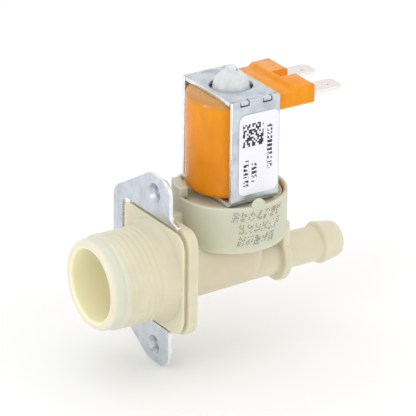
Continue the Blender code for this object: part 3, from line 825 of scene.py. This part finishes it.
def sheared(thing: bpy.types.Object, material: bpy.types.Material, axis: Axis, along: bool) -> None:
    """Give a pressing's cut edges their own finish, made lighter as a painted highlight.

    Args:
        thing: the piece, already dressed.
        material: the finish of cut edges, with its painted highlight.
        axis: the direction that tells cut edges from faces.
        along: True if cut edges face along the axis, False if they face across it.
    """
    index = {Axis.FLOW: 0, Axis.ACROSS: 1, Axis.UP: 2}[axis]
    thing.data.materials.append(material)
    for face in thing.data.polygons:
        lean = abs(face.normal[index])
        if (lean > 0.7) if along else (lean < 0.5):
            face.material_index = 1


# ------------------------------------------------------------- sub-assemblies


@dataclass
class NylonBody:
    """The moulded body: threaded spout, flanges, chamber, cup, seat and hose barb."""

    material: bpy.types.Material
    mouth_x: float = BODY_LOW.x
    tip_x: float = BODY_HIGH.x
    crest: float = 13.2
    lead: float = 12.6
    thread_start: float = -16.0
    thread_end: float = -3.6
    pitch: float = 1.814
    thread_height: float = 0.15
    bore: float = 10.0
    front_flange: float = 15.0
    front_x: tuple = (-0.3, 0.2)
    rear_flange: float = 15.45
    rear_x: tuple = (1.35, 4.4)
    back_corner: float = 2.2
    upper_corner: float = 4.4
    lower_corner: float = 5.5
    nub_x: float = COIL_X - 0.65
    nub_radius: float = 2.0
    chamber: tuple = (10.2, 9.6)
    chamber_end: float = 30.9
    chamber_bore: float = 8.4
    cup: float = 15.8
    cup_inner: float = 14.7
    cup_z: tuple = (5.7, 19.2)
    seat_z: float = 10.4
    outlet_z: float = -4.45
    collar: float = 7.5
    collar_x: tuple = (37.9, 40.2)
    sleeve: float = 5.0
    neck: float = 14.1
    neck_corner: float = 5.0

    def thread(self, bm: bmesh.types.BMesh) -> None:
        """Press the helical thread into the upright spout, fading at both ends.

        Args:
            bm: the upright spout, changed in place.
        """
        for vert in bm.verts:
            radius = vert.co.xy.length
            x = vert.co.z
            if radius < self.lead or not self.thread_start <= x <= self.thread_end:
                continue
            turn = math.atan2(vert.co.y, vert.co.x) / math.tau
            wave = 0.5 + 0.5 * math.cos(math.tau * (x / self.pitch - turn))
            fade = min(1.0, (x - self.thread_start) / self.pitch, (self.thread_end - x) / self.pitch)
            depth = self.thread_height * (1.0 - wave) * max(0.0, fade)
            vert.co.xy *= (radius - depth) / radius

    def spout(self) -> bmesh.types.BMesh:
        """Spout with its thread and flare, and the chamber, as one turned solid.

        Returns:
            The solid.
        """
        lip = arc((self.lead - 1.2, self.mouth_x + 1.2), 1.2, -90, 0, 8)
        count = round((self.thread_end - self.thread_start) / 0.2)
        step = (self.thread_end - self.thread_start) / count
        threaded = [(self.crest, self.thread_start + step * index) for index in range(count + 1)]
        end = arc((self.chamber[1] - 5.0, self.chamber_end - 5.0), 5.0, 0, 90, 14)
        profile = [(0.0, self.mouth_x), *lip, (self.lead, self.thread_start - 0.8),
                   (self.lead + 0.15, self.thread_start - 0.45),
                   (self.crest - 0.1, self.thread_start - 0.15),
                   *threaded, (self.crest + 0.05, -3.2), (self.crest + 0.15, -2.5),
                   (self.crest + 0.35, -1.9), (self.crest + 0.7, -1.2), (self.crest + 1.1, -0.6),
                   (self.crest + 1.4, -0.15), (self.crest + 0.1, 0.0),
                   (self.crest + 0.1, 2.6), (self.chamber[0] + 0.4, 4.0), (self.chamber[0] + 0.4, 4.45),
                   (self.chamber[0] + 0.1, 4.75), (self.chamber[0], 5.3), *end, (0.0, self.chamber_end)]
        bm = revolve(profile, 128)
        self.thread(bm)
        return lay(bm, Axis.FLOW)

    def flange(self, half: float, span: tuple, rounding: float) -> bmesh.types.BMesh:
        """Square plate on the inlet axis, sharpest at its upper back corner.

        Args:
            half: half its width.
            span: its faces along X.
            rounding: rounding of its rims.

        Returns:
            The plate.
        """
        upper, lower = self.upper_corner, self.lower_corner
        corners = [(half, half, self.back_corner), (-half, half, upper), (-half, -half, lower),
                   (half, -half, lower)]
        return lay(soften(slab(corners, *span), rounding, 3), Axis.FLOW)

    def cup_solid(self) -> bmesh.types.BMesh:
        """Outer shape of the diaphragm cup with soft rims.

        Returns:
            The solid.
        """
        low, high = self.cup_z
        profile = [(0.0, low), *arc((self.cup - 1.1, low + 1.1), 1.1, -90, 0, 6),
                   *arc((self.cup - 0.4, high - 0.4), 0.4, 0, 90, 4), (0.0, high)]
        return upright(revolve(profile))

    def cup_recess(self) -> bmesh.types.BMesh:
        """Room for the guide's flange, the diaphragm and the ring channel.

        Returns:
            The solid to cut.
        """
        floor, ledge, top = self.cup_z[0] + 1.3, self.seat_z, self.cup_z[1] + 4.5
        profile = [(0.0, floor), (12.6, floor), (12.6, ledge), (self.cup_inner, ledge),
                   (self.cup_inner, self.cup_z[1] - 0.35), (self.cup_inner + 0.3, self.cup_z[1] + 0.1),
                   (self.cup_inner + 0.3, top), (0.0, top)]
        return upright(revolve(profile, 96, 1.2))

    def outlet(self) -> bmesh.types.BMesh:
        """Neck, collar, tube and barb on the outlet axis.

        Returns:
            The solid.
        """
        near, far = self.collar_x
        barb = self.tip_x - 6.3
        profile = [(0.0, 28.0), (5.6, 28.0), (5.6, near - 0.3), (5.9, near),
                   *arc((self.collar - 0.5, near + 0.5), 0.5, -90, 0, 4),
                   *arc((self.collar - 0.5, far - 0.5), 0.5, 0, 90, 4),
                   (5.5, far), (5.15, far + 0.2), (5.0, far + 0.6), (5.0, barb - 1.0),
                   (5.15, barb - 0.75), (5.8, barb - 0.3), (5.98, barb), (6.0, barb + 0.3),
                   (5.9, barb + 0.7), (5.1, self.tip_x - 1.0), (4.85, self.tip_x - 0.35),
                   (4.5, self.tip_x), (0.0, self.tip_x)]
        return lay(revolve(profile), Axis.FLOW, (0.0, 0.0, self.outlet_z))

    def collar_web(self) -> bmesh.types.BMesh:
        """Upright plate that ties the collar to the cup.

        Returns:
            The plate.
        """
        near, far = self.collar_x
        return box((near + 0.05, -6.0, self.outlet_z), (far - 0.05, 6.0, self.cup_z[0] + 1.5), 0.4)

    def nub(self, side: int) -> bmesh.types.BMesh:
        """Half-round nub on the rim, front or back.

        Args:
            side: -1 for the front, 1 for the back.

        Returns:
            The nub.
        """
        high, x, reach = self.cup_z[1], self.nub_x, self.nub_radius
        corners = [(x - reach, high - 3.0, 0.0), (x + reach, high - 3.0, 0.0),
                   (x + reach, high + 2.1, reach - 0.05), (x - reach, high + 2.1, reach - 0.05)]
        span = sorted((side * (self.cup_inner - 0.5), side * (self.cup - 0.2)))
        return lay(soften(slab(corners, *span), 0.12), Axis.ACROSS)

    def ear(self) -> bmesh.types.BMesh:
        """Raised, thicker stretch of the rim on the inlet side.

        Returns:
            The ear.
        """
        outer = arc((0.0, 0.0), self.cup - 0.02, 147.0, 178.0, 14)
        inner = arc((0.0, 0.0), 12.95, 178.0, 147.0, 14)
        corners = [(x, y, 0.0) for x, y in outer + inner]
        return upright(soften(slab(corners, 18.65, 21.7), 0.35, 3))

    def passages(self) -> tuple:
        """Inlet bore, then the inner seat tube and duct, then their bores.

        Returns:
            What is cut first, what is joined then, and what is cut last.
        """
        sleeve = self.sleeve
        back = self.chamber_end - 4.4
        outer = self.bore + 1.0
        duct_end = self.chamber_end - 3.9
        inlet = revolve([(0.0, self.mouth_x - 1.0), (outer, self.mouth_x - 1.0), (outer, self.mouth_x),
                         *arc((outer, self.mouth_x + 1.0), 1.0, -90, -180, 5),
                         (self.bore, -6.0), (self.bore - 0.8, -6.0),
                         (self.bore - 0.8, 4.4), (self.chamber_bore, 4.4),
                         (self.chamber_bore, back), (0.0, back)], 96, 0.9)
        tube = revolve([(0.0, self.outlet_z), (sleeve, self.outlet_z), (sleeve, self.seat_z - 0.5),
                        (sleeve - 0.5, self.seat_z), (0.0, self.seat_z)], 64, 2.0)
        duct = revolve([(0.0, COIL_X - sleeve), (sleeve - 0.1, COIL_X - sleeve), (sleeve - 0.1, duct_end),
                        (0.0, duct_end)], 64, 1.0)
        drop = revolve([(0.0, self.outlet_z), (3.6, self.outlet_z), (3.6, self.seat_z + 1.0),
                        (0.0, self.seat_z + 1.0)], 64, 1.5)
        run = revolve([(0.0, COIL_X - 3.6), (3.5, COIL_X - 3.6), (3.5, self.tip_x - 0.4),
                       (3.9, self.tip_x + 0.05), (3.9, self.tip_x + 1.0), (0.0, self.tip_x + 1.0)], 64, 0.5)
        low = (0.0, 0.0, self.outlet_z)
        return (lay(inlet, Axis.FLOW), (upright(tube), lay(duct, Axis.FLOW, low)),
                (upright(drop), lay(run, Axis.FLOW, low)))

    def build(self) -> bpy.types.Object:
        """Build the body as one moulding and dress it.

        Returns:
            The piece.
        """
        thing = as_object("nylon_body", self.cup_solid())
        web = box((3.8, -1.25, 8.0), (COIL_X - self.cup + 1.5, 1.25, 15.2), 0.3)
        corners = [(y * self.neck, z * self.neck, self.neck_corner)
                   for y, z in ((1, 1), (-1, 1), (-1, -1), (1, -1))]
        neck = lay(slab(corners, -0.05, 3.0), Axis.FLOW)
        shape(thing, Joining.JOIN, (
            self.flange(self.front_flange, self.front_x, 0.2),
            self.flange(self.rear_flange, self.rear_x, 0.5), neck,
            self.outlet(), self.collar_web(), web, self.nub(-1), self.nub(1), self.spout()))
        inlet, inner, bores = self.passages()
        shape(thing, Joining.CUT, (inlet, self.cup_recess()))
        shape(thing, Joining.JOIN, (*inner, self.ear()))
        shape(thing, Joining.CUT, bores)
        return finish_piece(thing, self.material, Body.VALVE, ("valve_body",), 28.0)


@dataclass
class CupPrint:
    """Three rows of ink dots on the cup, in place of its printing."""

    material: bpy.types.Material
    radius: float = 15.8
    rows: tuple = ((17.9, -118.0, 7), (14.3, -112.0, 6), (10.8, -112.0, 5))
    dot: float = 0.15
    pitch: float = 0.46
    slant: float = 0.14
    seed: int = 7

    def build(self) -> bpy.types.Object:
        """Set small flat dots along the cup's curve, a few columns to each mark.

        Returns:
            The piece.
        """
        chance = random.Random(self.seed)
        bm = bmesh.new()
        for height, start, marks in self.rows:
            for column in range(marks * 5):
                if column % 5 == 4:
                    continue
                for level in range(6):
                    along = column * self.pitch - level * self.slant
                    angle = math.radians(start) + along / self.radius
                    if chance.random() > 0.5:
                        continue
                    place = (Matrix.Translation((COIL_X, 0.0, height - level * self.pitch))
                             @ Matrix.Rotation(angle, 4, "Z") @ Matrix.Translation((self.radius, 0.0, 0.0))
                             @ Matrix.Rotation(math.pi / 2, 4, "Y"))
                    bmesh.ops.create_cone(bm, cap_ends=True, segments=8, radius1=self.dot, radius2=self.dot,
                                          depth=0.06, matrix=place)
        return finish_piece(as_object("cup_ink_dots", bm), self.material, Body.VALVE)


@dataclass
class ForkBracket:
    """Flat steel fork round the front flange, with two drawn screw holes."""

    material: bpy.types.Material
    edge_highlight_material: bpy.types.Material
    thickness: float = 1.2
    window: float = 15.7
    arm: float = -7.4
    top: float = 27.5
    hole_z: float = 22.5
    hole: float = 1.75
    collar: float = 2.65
    depth: float = 3.0

    def outline(self) -> list:
        """Corners of the fork, round the upper arm and back round the lower one.

        Returns:
            Points with the radius of their rounding.
        """
        window, arm, top = self.window, self.arm, self.top
        return [(16.6, window, 2.4), (-11.3, window, 0.3), (-11.3, window + 0.7, 0.3),
                (arm, window + 1.7, 1.6), (arm, top, 4.2), (3.1, top, 1.5), (21.2, 16.8, 4.6),
                (21.2, -16.8, 4.6), (3.1, -top, 1.5), (arm, -top, 4.2), (arm, -window, 1.0),
                (16.6, -window, 2.4)]

    def build(self) -> bpy.types.Object:
        """Build the pressing with rolled edges and funnel-shaped holes.

        Returns:
            The piece.
        """
        plate = slab(self.outline(), 0.0, self.thickness)
        thing = as_object("fork_bracket", lay(soften(plate, 0.14), Axis.FLOW))
        for z in (self.hole_z, -self.hole_z):
            ring = revolve([(0.0, 0.8), (self.collar + 0.3, 0.8),
                            (self.collar + 0.3, self.thickness - 0.05),
                            (self.collar, self.thickness + 0.25), (self.collar, self.depth - 0.15),
                            (self.collar - 0.15, self.depth), (0.0, self.depth)], 48)
            funnel = revolve([(0.0, -0.5), (self.collar + 0.1, -0.5), (self.collar + 0.1, 0.0),
                              (self.hole + 0.2, 0.95), (self.hole, 1.3), (self.hole, self.depth + 0.5),
                              (0.0, self.depth + 0.5)], 48)
            shape(thing, Joining.JOIN, (lay(ring, Axis.FLOW, (0, 0, z)),))
            shape(thing, Joining.CUT, (lay(funnel, Axis.FLOW, (0, 0, z)),))
        finish_piece(thing, self.material, Body.VALVE, ("mounting_bracket",))
        sheared(thing, self.edge_highlight_material, Axis.FLOW, False)
        for face in thing.data.polygons:
            centre = Vector((face.center.y, abs(face.center.z))) / MM
            if (centre - Vector((0.0, self.hole_z))).length < self.collar + 0.6:
                face.material_index = 0
        return thing


@dataclass
class SteelYoke:
    """U-shaped strip round the coil and the staked plate on top."""

    material: bpy.types.Material
    edge_highlight_material: bpy.types.Material
    outer: float = 12.4
    low: float = 18.65
    high: float = 48.95
    thickness: float = 1.2
    half_width: float = 7.6
    hole: float = 5.95
    stake_x: float = 3.6
    stake_half: float = 1.2

    def strip(self) -> bpy.types.Object:
        """The bent strip with its hole and stake slots.

        Returns:
            The piece.
        """
        inner, floor = self.outer - self.thickness, self.low + self.thickness
        corners = [(self.outer, self.high, 0), (inner, self.high, 0), (inner, floor, 0.8),
                   (-inner, floor, 0.8), (-inner, self.high, 0), (-self.outer, self.high, 0),
                   (-self.outer, self.low, 2.0), (self.outer, self.low, 2.0)]
        bm = slab(corners, COIL_X - self.half_width, COIL_X + self.half_width)
        thing = as_object("yoke_strip", lay(soften(bm, 0.16), Axis.FLOW))
        reach = self.outer + 1.0
        half = self.stake_half + 0.3
        slots = [box((COIL_X + x - half, -reach, self.high - 1.5),
                     (COIL_X + x + half, reach, self.high + 1.0))
                 for x in (-self.stake_x, self.stake_x)]
        opening = revolve([(0, self.low - 1), (self.hole, self.low - 1), (self.hole, floor + 1),
                           (0, floor + 1)], 64)
        shape(thing, Joining.CUT, (*slots, upright(opening)))
        finish_piece(thing, self.material, Body.VALVE, ("yoke_frame",))
        sheared(thing, self.edge_highlight_material, Axis.FLOW, True)
        return thing

    def plate(self) -> bpy.types.Object:
        """The top plate: four staked tongues with their chisel dents, and a rounded hole.

        Returns:
            The piece.
        """
        inner, floor = self.outer - self.thickness - 0.3, self.high - self.thickness
        low = (COIL_X - self.half_width, -inner, floor)
        high = (COIL_X + self.half_width, inner, self.high)
        thing = as_object("yoke_plate", box(low, high, 0.14))
        tongues = [box((COIL_X + x - self.stake_half, -self.outer, floor + 0.05),
                       (COIL_X + x + self.stake_half, self.outer, self.high - 0.05), 0.2)
                   for x in (-self.stake_x, self.stake_x)]
        shape(thing, Joining.JOIN, tongues)
        dents = [revolve([(0.0, self.high - 0.45), (0.25, self.high - 0.4), (0.7, self.high + 0.2),
                          (0.0, self.high + 0.2)], 16) for _ in range(4)]
        places = [(COIL_X + x, y, 0.0) for x in (-self.stake_x, self.stake_x) for y in (-11.4, 11.4)]
        shape(thing, Joining.CUT, (lay(dent, Axis.UP, place) for dent, place in zip(dents, places)))
        opening = revolve([(0, floor - 1), (self.hole, floor - 1), (self.hole, self.high - 0.25),
                           (self.hole + 0.3, self.high + 0.02), (self.hole + 0.3, self.high + 1),
                           (0, self.high + 1)], 96)
        shape(thing, Joining.CUT, (upright(opening),))
        finish_piece(thing, self.material, Body.VALVE, ("yoke_top_plate",))
        sheared(thing, self.edge_highlight_material, Axis.FLOW, True)
        return thing

    def build(self) -> list:
        """Build both pieces.

        Returns:
            The pieces.
        """
        return [self.strip(), self.plate()]


@dataclass
class CoilJacket:
    """Orange moulding round the winding, with the forked terminal block."""

    material: bpy.types.Material
    radius: float = 12.25
    flat: float = 11.0
    z: tuple = (20.3, 47.72)
    edge: float = 1.6
    bore: float = 10.3
    top_bore: float = 7.1
    ceiling: float = 46.3
    block_z: tuple = (43.45, 48.85)
    block_half: float = 10.95
    front: float = 43.7
    step: float = 36.5
    neck: float = 47.9
    notch_half: float = 2.3
    notch_x: float = 38.3

    def block(self) -> bmesh.types.BMesh:
        """Side view of the terminal block, raised across the coil.

        Returns:
            The solid.
        """
        low, high = self.block_z
        yoke = COIL_X + 7.9
        side = [(COIL_X + 4.0, low, 0), (self.front, low, 0.5), (self.front, high, 0.8),
                (self.step + 1.2, high, 0.5), (self.step, self.neck, 0.5), (yoke, self.neck, 0),
                (yoke, self.z[1] - 0.3, 0), (COIL_X + 4.0, self.z[1] - 0.3, 0)]
        return lay(soften(slab(side, -self.block_half, self.block_half, 4), 0.4), Axis.ACROSS)

    def build(self) -> bpy.types.Object:
        """Build the jacket, hollow for the winding and slotted for the blades.

        Returns:
            The piece.
        """
        low, high = self.z
        edge = self.edge
        barrel = revolve([(0.0, low), *arc((self.radius - edge, low + edge), edge, -90, 0, 8),
                          *arc((self.radius - edge, high - edge), edge, 0, 90, 8), (0.0, high)], 128)
        thing = as_object("coil_jacket_orange", upright(barrel))
        reach = self.radius + 2.0
        flats = [box((COIL_X - reach, near, low - 1), (COIL_X + reach, far, high + 1))
                 for near, far in ((self.flat, reach), (-reach, -self.flat))]
        shape(thing, Joining.CUT, flats)
        shape(thing, Joining.JOIN, (self.block(),))
        ceiling = self.ceiling
        cavity = revolve([(0, low - 1), (self.bore, low - 1), (self.bore, ceiling),
                          (self.top_bore, ceiling), (self.top_bore, high + 1), (0, high + 1)], 96, 1.0)
        notch = box((self.notch_x, -self.notch_half, self.block_z[0] - 1), (self.front + 1, self.notch_half,
                                                                             self.block_z[1] + 1), 0.4)
        slots = []
        for side in (-1, 1):
            blade_low, blade_high = frame_mm("terminal_front" if side < 0 else "terminal_rear")
            slots.append(box((blade_low.x - 0.3, blade_low.y - 0.12, blade_low.z - 0.12),
                             (self.front + 1, blade_high.y + 0.12, blade_high.z + 0.12)))
        shape(thing, Joining.CUT, (upright(cavity), notch, *slots))
        return finish_piece(thing, self.material, Body.VALVE, ("coil_jacket",), 28.0)


@dataclass
class ArmatureGuide:
    """Guide tube with its clamping flange and the ribbed, domed tip."""

    material: bpy.types.Material
    top: float = GUIDE_HIGH.z
    tube: float = 5.5
    flange: float = 14.3
    flange_z: tuple = (12.7, 18.3)
    ribs: int = 6

    def dome(self) -> list:
        """Right-hand outline of the tip, from its crown down to the tube.

        Returns:
            Its points.
        """
        top = self.top
        return [(0.0, top - 0.3), (0.7, top - 0.32), (1.15, top - 0.5), (1.45, top - 0.85),
                (1.75, top - 1.3),
                (2.15, top - 1.75), (2.75, top - 2.25), (3.4, top - 2.85), (4.0, top - 3.55),
                (4.5, top - 4.3), (4.85, top - 5.1), (4.98, top - 5.9), (5.02, top - 6.6),
                (self.tube - 0.1, top - 7.2), (self.tube, top - 7.6)]

    def build(self) -> bpy.types.Object:
        """Build the guide with shallow ribs pressed out of the dome.

        Returns:
            The piece.
        """
        low, high = self.flange_z
        rim = self.flange
        profile = [*self.dome(), (self.tube, high + 0.3), (self.tube + 0.3, high), (rim - 1.1, high),
                   (rim - 1.0, high - 0.25), (rim - 0.7, high - 0.25), (rim - 0.6, high),
                   (rim - 0.3, high), (rim, high - 0.3), (rim, low),
                   (10.6, low), (10.6, 16.8), (4.6, 16.8), (4.6, 46.6), (0.0, 46.6)]
        bm = revolve(profile, 144)
        foot = self.top - 5.8
        for vert in bm.verts:
            radius = vert.co.xy.length
            if radius < 1.9 or vert.co.z < foot or vert.co.z > self.top - 1.6:
                continue
            turn = math.atan2(vert.co.y, vert.co.x) + 0.35
            ridge = max(0.0, math.cos(self.ribs * turn)) ** 6
            fade = math.sin(math.pi * (vert.co.z - foot) / (self.top - 1.6 - foot))
            vert.co.xy *= 1.0 + 0.05 * ridge * fade - 0.02 * fade
        thing = as_object("armature_guide", upright(bm))
        pin = revolve([(0.0, -2.0), (0.3, -2.0), (0.4, 1.0), (0.0, 1.0)], 16)
        pin.transform(Matrix.Rotation(math.radians(62), 4, "Y"))
        pin.transform(Matrix.Rotation(math.radians(-62), 4, "Z"))
        shape(thing, Joining.CUT, (lay(pin, Axis.UP, (COIL_X + 0.8, -1.5, self.top - 1.45)),))
        return finish_piece(thing, self.material, Body.VALVE, ("guide_tube",), 40.0)


@dataclass
class BladeTerminals:
    """Two flat 6.3 mm blades with bevelled points and a locking hole."""

    material: bpy.types.Material
    hole: float = 0.85

    def build(self) -> list:
        """Build both blades from the frame's boxes.

        Returns:
            The pieces.
        """
        made = []
        for node in ("terminal_front", "terminal_rear"):
            low, high = frame_mm(node)
            corners = [(low.x, low.y, 0), (high.x - 1.5, low.y, 0.2), (high.x, low.y + 1.2, 0.2),
                       (high.x, high.y - 1.2, 0.2), (high.x - 1.5, high.y, 0.2), (low.x, high.y, 0)]
            blade = soften(slab(corners, low.z, high.z, 4), 0.24, 3)
            thing = as_object(node.replace("terminal", "blade"), blade)
            middle = (low.y + high.y) / 2
            hole = revolve([(0, -2), (self.hole + 0.15, -2), (self.hole + 0.15, -0.3), (self.hole, -0.1),
                            (self.hole, 0.1), (self.hole + 0.15, 0.3), (self.hole + 0.15, 2), (0, 2)], 32)
            shape(thing, Joining.CUT, (lay(hole, Axis.UP, (high.x - 3.6, middle, (low.z + high.z) / 2)),))
            made.append(finish_piece(thing, self.material, Body.VALVE, (node,)))
        return made


@dataclass
class RatingLabel:
    """Printed film on the yoke's front plate."""

    material: bpy.types.Material
    corner: float = 2.0

    def build(self) -> bpy.types.Object:
        """Build the film with round corners and a soft edge.

        Returns:
            The piece.
        """
        low, high = LABEL_LOW, LABEL_HIGH
        corners = [(high.x, high.z, self.corner), (low.x, high.z, self.corner), (low.x, low.z, self.corner),
                   (high.x, low.z, self.corner)]
        film = soften(slab(corners, low.y, high.y, 8), 0.03, 1)
        thing = as_object("rating_film", lay(film, Axis.ACROSS))
        return finish_piece(thing, self.material, Body.VALVE, ("rating_label",))


@dataclass
class GivingWorks:
    """Pieces that give way as the plunger lifts: the return spring and the diaphragm."""

    steel: bpy.types.Material
    rubber: bpy.types.Material
    wire: float = 0.25
    turns: int = 6
    lift: float = 2.2
    seam: float = 10.3

    def spring(self) -> bpy.types.Object:
        """Wind the spring, which rides on the plunger.

        Returns:
            The piece.
        """
        low, high = frame_mm("plunger_spring")
        radius = (high.x - low.x) / 2 - self.wire
        steps = 28 * self.turns
        curve = bpy.data.curves.new("return_spring", "CURVE")
        curve.dimensions = "3D"
        curve.bevel_depth = self.wire * MM
        curve.bevel_resolution = 3
        curve.use_fill_caps = True
        wire = curve.splines.new("POLY")
        wire.points.add(steps)
        for index, point in enumerate(wire.points):
            angle = math.tau * self.turns * index / steps
            height = low.z + self.wire + (high.z - low.z - 2 * self.wire) * index / steps
            place = Vector((COIL_X + radius * math.cos(angle), radius * math.sin(angle), height)) * MM
            point.co = (*place, 1.0)
        guide = bpy.data.objects.new("spring_guide", curve)
        bpy.context.collection.objects.link(guide)
        held = guide.evaluated_get(bpy.context.evaluated_depsgraph_get())
        thing = bpy.data.objects.new("return_spring", bpy.data.meshes.new_from_object(held))
        bpy.context.collection.objects.link(thing)
        bpy.data.objects.remove(guide, do_unlink=True)
        finish_piece(thing, self.steel, Body.PLUNGER, ("plunger_spring",), 60.0)
        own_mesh(thing)
        return thing

    def diaphragm(self) -> list:
        """Turn the diaphragm's lifting middle and its clamped rim.

        Returns:
            The two pieces.
        """
        box_low, box_high = frame_mm("diaphragm")
        low, high, rim = box_low.z, box_high.z, (box_high.x - box_low.x) / 2
        seam = self.seam
        middle = revolve([(2.0, low), (6.2, low), (7.2, low + 0.4), (9.0, low + 0.8), (seam, low + 0.56),
                          (seam, high - 0.34), (9.0, high - 0.1), (7.2, high - 0.5), (2.0, high - 0.5)])
        edge = revolve([(seam + 0.1, low + 0.55), (11.2, low + 0.4), (12.6, low), (rim, low), (rim, high),
                        (12.6, high), (11.2, high - 0.5), (seam + 0.1, high - 0.35)])
        return [finish_piece(as_object("diaphragm_middle", upright(middle)), self.rubber, Body.DIAPHRAGM,
                             ("diaphragm",)),
                finish_piece(as_object("diaphragm_rim", upright(edge)), self.rubber, Body.VALVE)]

    def build(self) -> list:
        """Build the spring and both parts of the diaphragm.

        Returns:
            The pieces.
        """
        return [self.spring(), *self.diaphragm()]


@dataclass
class HiddenWorks:
    """Pieces of the frame that keep their own shape and get a finish."""

    finishes: dict

    def build(self) -> None:
        """Give each frame node the finish named for it."""
        for finish, nodes in self.finishes.items():
            material = finish.material()
            for node in nodes:
                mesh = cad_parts[node].data
                mesh.materials.clear()
                mesh.materials.append(material)
                LOG.info("%s: %s", node, finish.name)


# ------------------------------------------------------------------- studio


@dataclass
class Studio:
    """Plain pale floor, soft lights and the camera."""

    azimuth: float = -32.98
    elevation: float = 23.95
    roll: float = 0.73
    distance: float = 1.0004
    lens: float = 317.0
    aim: tuple = (0.021615, 0.007032, 0.010484)
    floor_gap: float = 0.0006
    sky: float = 0.95
    lights: tuple = (
        ("key_left", (-0.75, -0.35, 0.65), (0.5, 0.5), 1.0, False),
        ("fill_right", (0.55, -0.8, 0.45), (0.7, 0.7), 0.8, False),
        ("top", (0.1, 0.1, 1.0), (0.8, 0.8), 0.9, False),
        ("glint_strip", (-0.85, 0.12, 0.1), (0.12, 0.4), 3.0, True))

    def axes(self) -> tuple[Vector, Vector, Vector]:
        """Right, up and backward directions of the camera.

        Returns:
            The three directions.
        """
        turn, lift, roll = (math.radians(a) for a in (self.azimuth, self.elevation, self.roll))
        back = Vector((math.sin(turn) * math.cos(lift), -math.cos(turn) * math.cos(lift), math.sin(lift)))
        right = Vector((math.cos(turn), math.sin(turn), 0.0))
        above = back.cross(right)
        return (right * math.cos(roll) + above * math.sin(roll),
                above * math.cos(roll) - right * math.sin(roll), back)

    def camera(self) -> None:
        """Set the camera on the object."""
        right, above, back = self.axes()
        data = bpy.data.cameras.new("studio_camera")
        data.lens = self.lens
        data.sensor_width = 36.0
        data.clip_end = 10.0
        camera = bpy.data.objects.new("studio_camera", data)
        place = Vector(self.aim) + back * self.distance
        camera.matrix_world = Matrix.Translation(place) @ Matrix((right, above, back)).transposed().to_4x4()
        bpy.context.collection.objects.link(camera)
        bpy.context.scene.camera = camera

    def floor(self) -> None:
        """Lay a wide pale floor just under the object."""
        bm = bmesh.new()
        bmesh.ops.create_grid(bm, x_segments=1, y_segments=1, size=2.5)
        bmesh.ops.translate(bm, verts=bm.verts, vec=(0, 0, CAD_BOX[0][2] - self.floor_gap))
        mesh = bpy.data.meshes.new("floor")
        bm.to_mesh(mesh)
        bm.free()
        thing = bpy.data.objects.new("floor", mesh)
        bpy.context.collection.objects.link(thing)
        material, tree, shader = new_material("pale_floor")
        soft = between(tree, noise(tree, object_place(tree), 300.0), (0.3, 0.7), (0.0, 1.0))
        tree.links.new(blend_colours(tree, soft, "FBFBFB", "F8F8F8"), shader.inputs["Base Color"])
        shader.inputs["Roughness"].default_value = 0.9
        mesh.materials.append(material)

    def light(self, name: str, place: Sequence[float], size: Sequence[float], power: float,
              glints_only: bool) -> None:
        """Hang a rectangular soft light that faces the object.

        Args:
            name: the light's name.
            place: where it hangs, in metres.
            size: its width and height, in metres.
            power: its power in watts.
            glints_only: whether it is seen in reflections alone.
        """
        data = bpy.data.lights.new(name, "AREA")
        data.shape = "RECTANGLE"
        data.size, data.size_y = size
        data.energy = power
        lamp = bpy.data.objects.new(name, data)
        lamp.location = place
        lamp.visible_diffuse = not glints_only
        away = Vector(place) - Vector(self.aim)
        lamp.rotation_euler = away.to_track_quat("Z", "Y").to_euler()
        bpy.context.collection.objects.link(lamp)

    def build(self) -> None:
        """Set up the floor, lights, world and camera."""
        self.floor()
        for light in self.lights:
            self.light(*light)
        world = bpy.data.worlds.new("studio_world")
        world.use_nodes = True
        background = world.node_tree.nodes["Background"]
        background.inputs[0].default_value = (1.0, 1.0, 1.0, 1.0)
        background.inputs[1].default_value = self.sky
        bpy.context.scene.world = world
        bpy.context.scene.view_settings.view_transform = "Standard"
        self.camera()


def main() -> None:
    """Build the valve's pieces in order and report each."""
    logging.basicConfig(level=logging.INFO, format="%(name)s: %(message)s")
    zinc = ZincPlatedSteel().material()
    spangled = ZincPlatedSteel("spangled_zinc_strip", "D4DAE0", "ABB3BD").material()
    # Cut edges: partly their own bare sheared finish, partly a painted highlight in a lighter colour.
    cut_edge_highlight = ZincPlatedSteel("sheared_edge_highlight", "F6F8FA", "D3D9DF", 0.26).material()
    NylonBody(MouldedNylon().material()).build()
    CupPrint(PlainPolymer("brown_marking_ink", "7A6F5E", "5E5446", 0.6).material()).build()
    ForkBracket(zinc, cut_edge_highlight).build()
    SteelYoke(spangled, cut_edge_highlight).build()
    CoilJacket(CoilResin().material()).build()
    ArmatureGuide(ClearNylon().material()).build()
    BladeTerminals(PlainMetal("tinned_brass", "FAF5F3", "E6DFDC", 0.3).material()).build()
    RatingLabel(PrintedFilm().material()).build()
    rubber = PlainPolymer("black_nitrile_rubber", "1B1B1C", "262627", 0.65, 1.52)
    steel = PlainMetal("magnetic_stainless_steel", "C9C9C8", "ADADAC", 0.28)
    GivingWorks(steel.material(), rubber.material()).build()
    HiddenWorks({
        PlainPolymer("white_acetal", "E8E7DF", "DAD9CF", 0.4, 1.48): (
            "inlet_filter", "flow_regulator_holder", "diaphragm_plate", "coil_bobbin"),
        rubber: ("flow_regulator_washer", "plunger_seal"),
        steel: ("plunger", "lower_pole_sleeve", "upper_pole_sleeve"),
        PlainMetal("enamelled_copper_wire", "C46A3A", "9C4A22", 0.32, 0.25): ("copper_winding",),
    }).build()
    Studio().build()


if __name__ == "__main__":
    main()
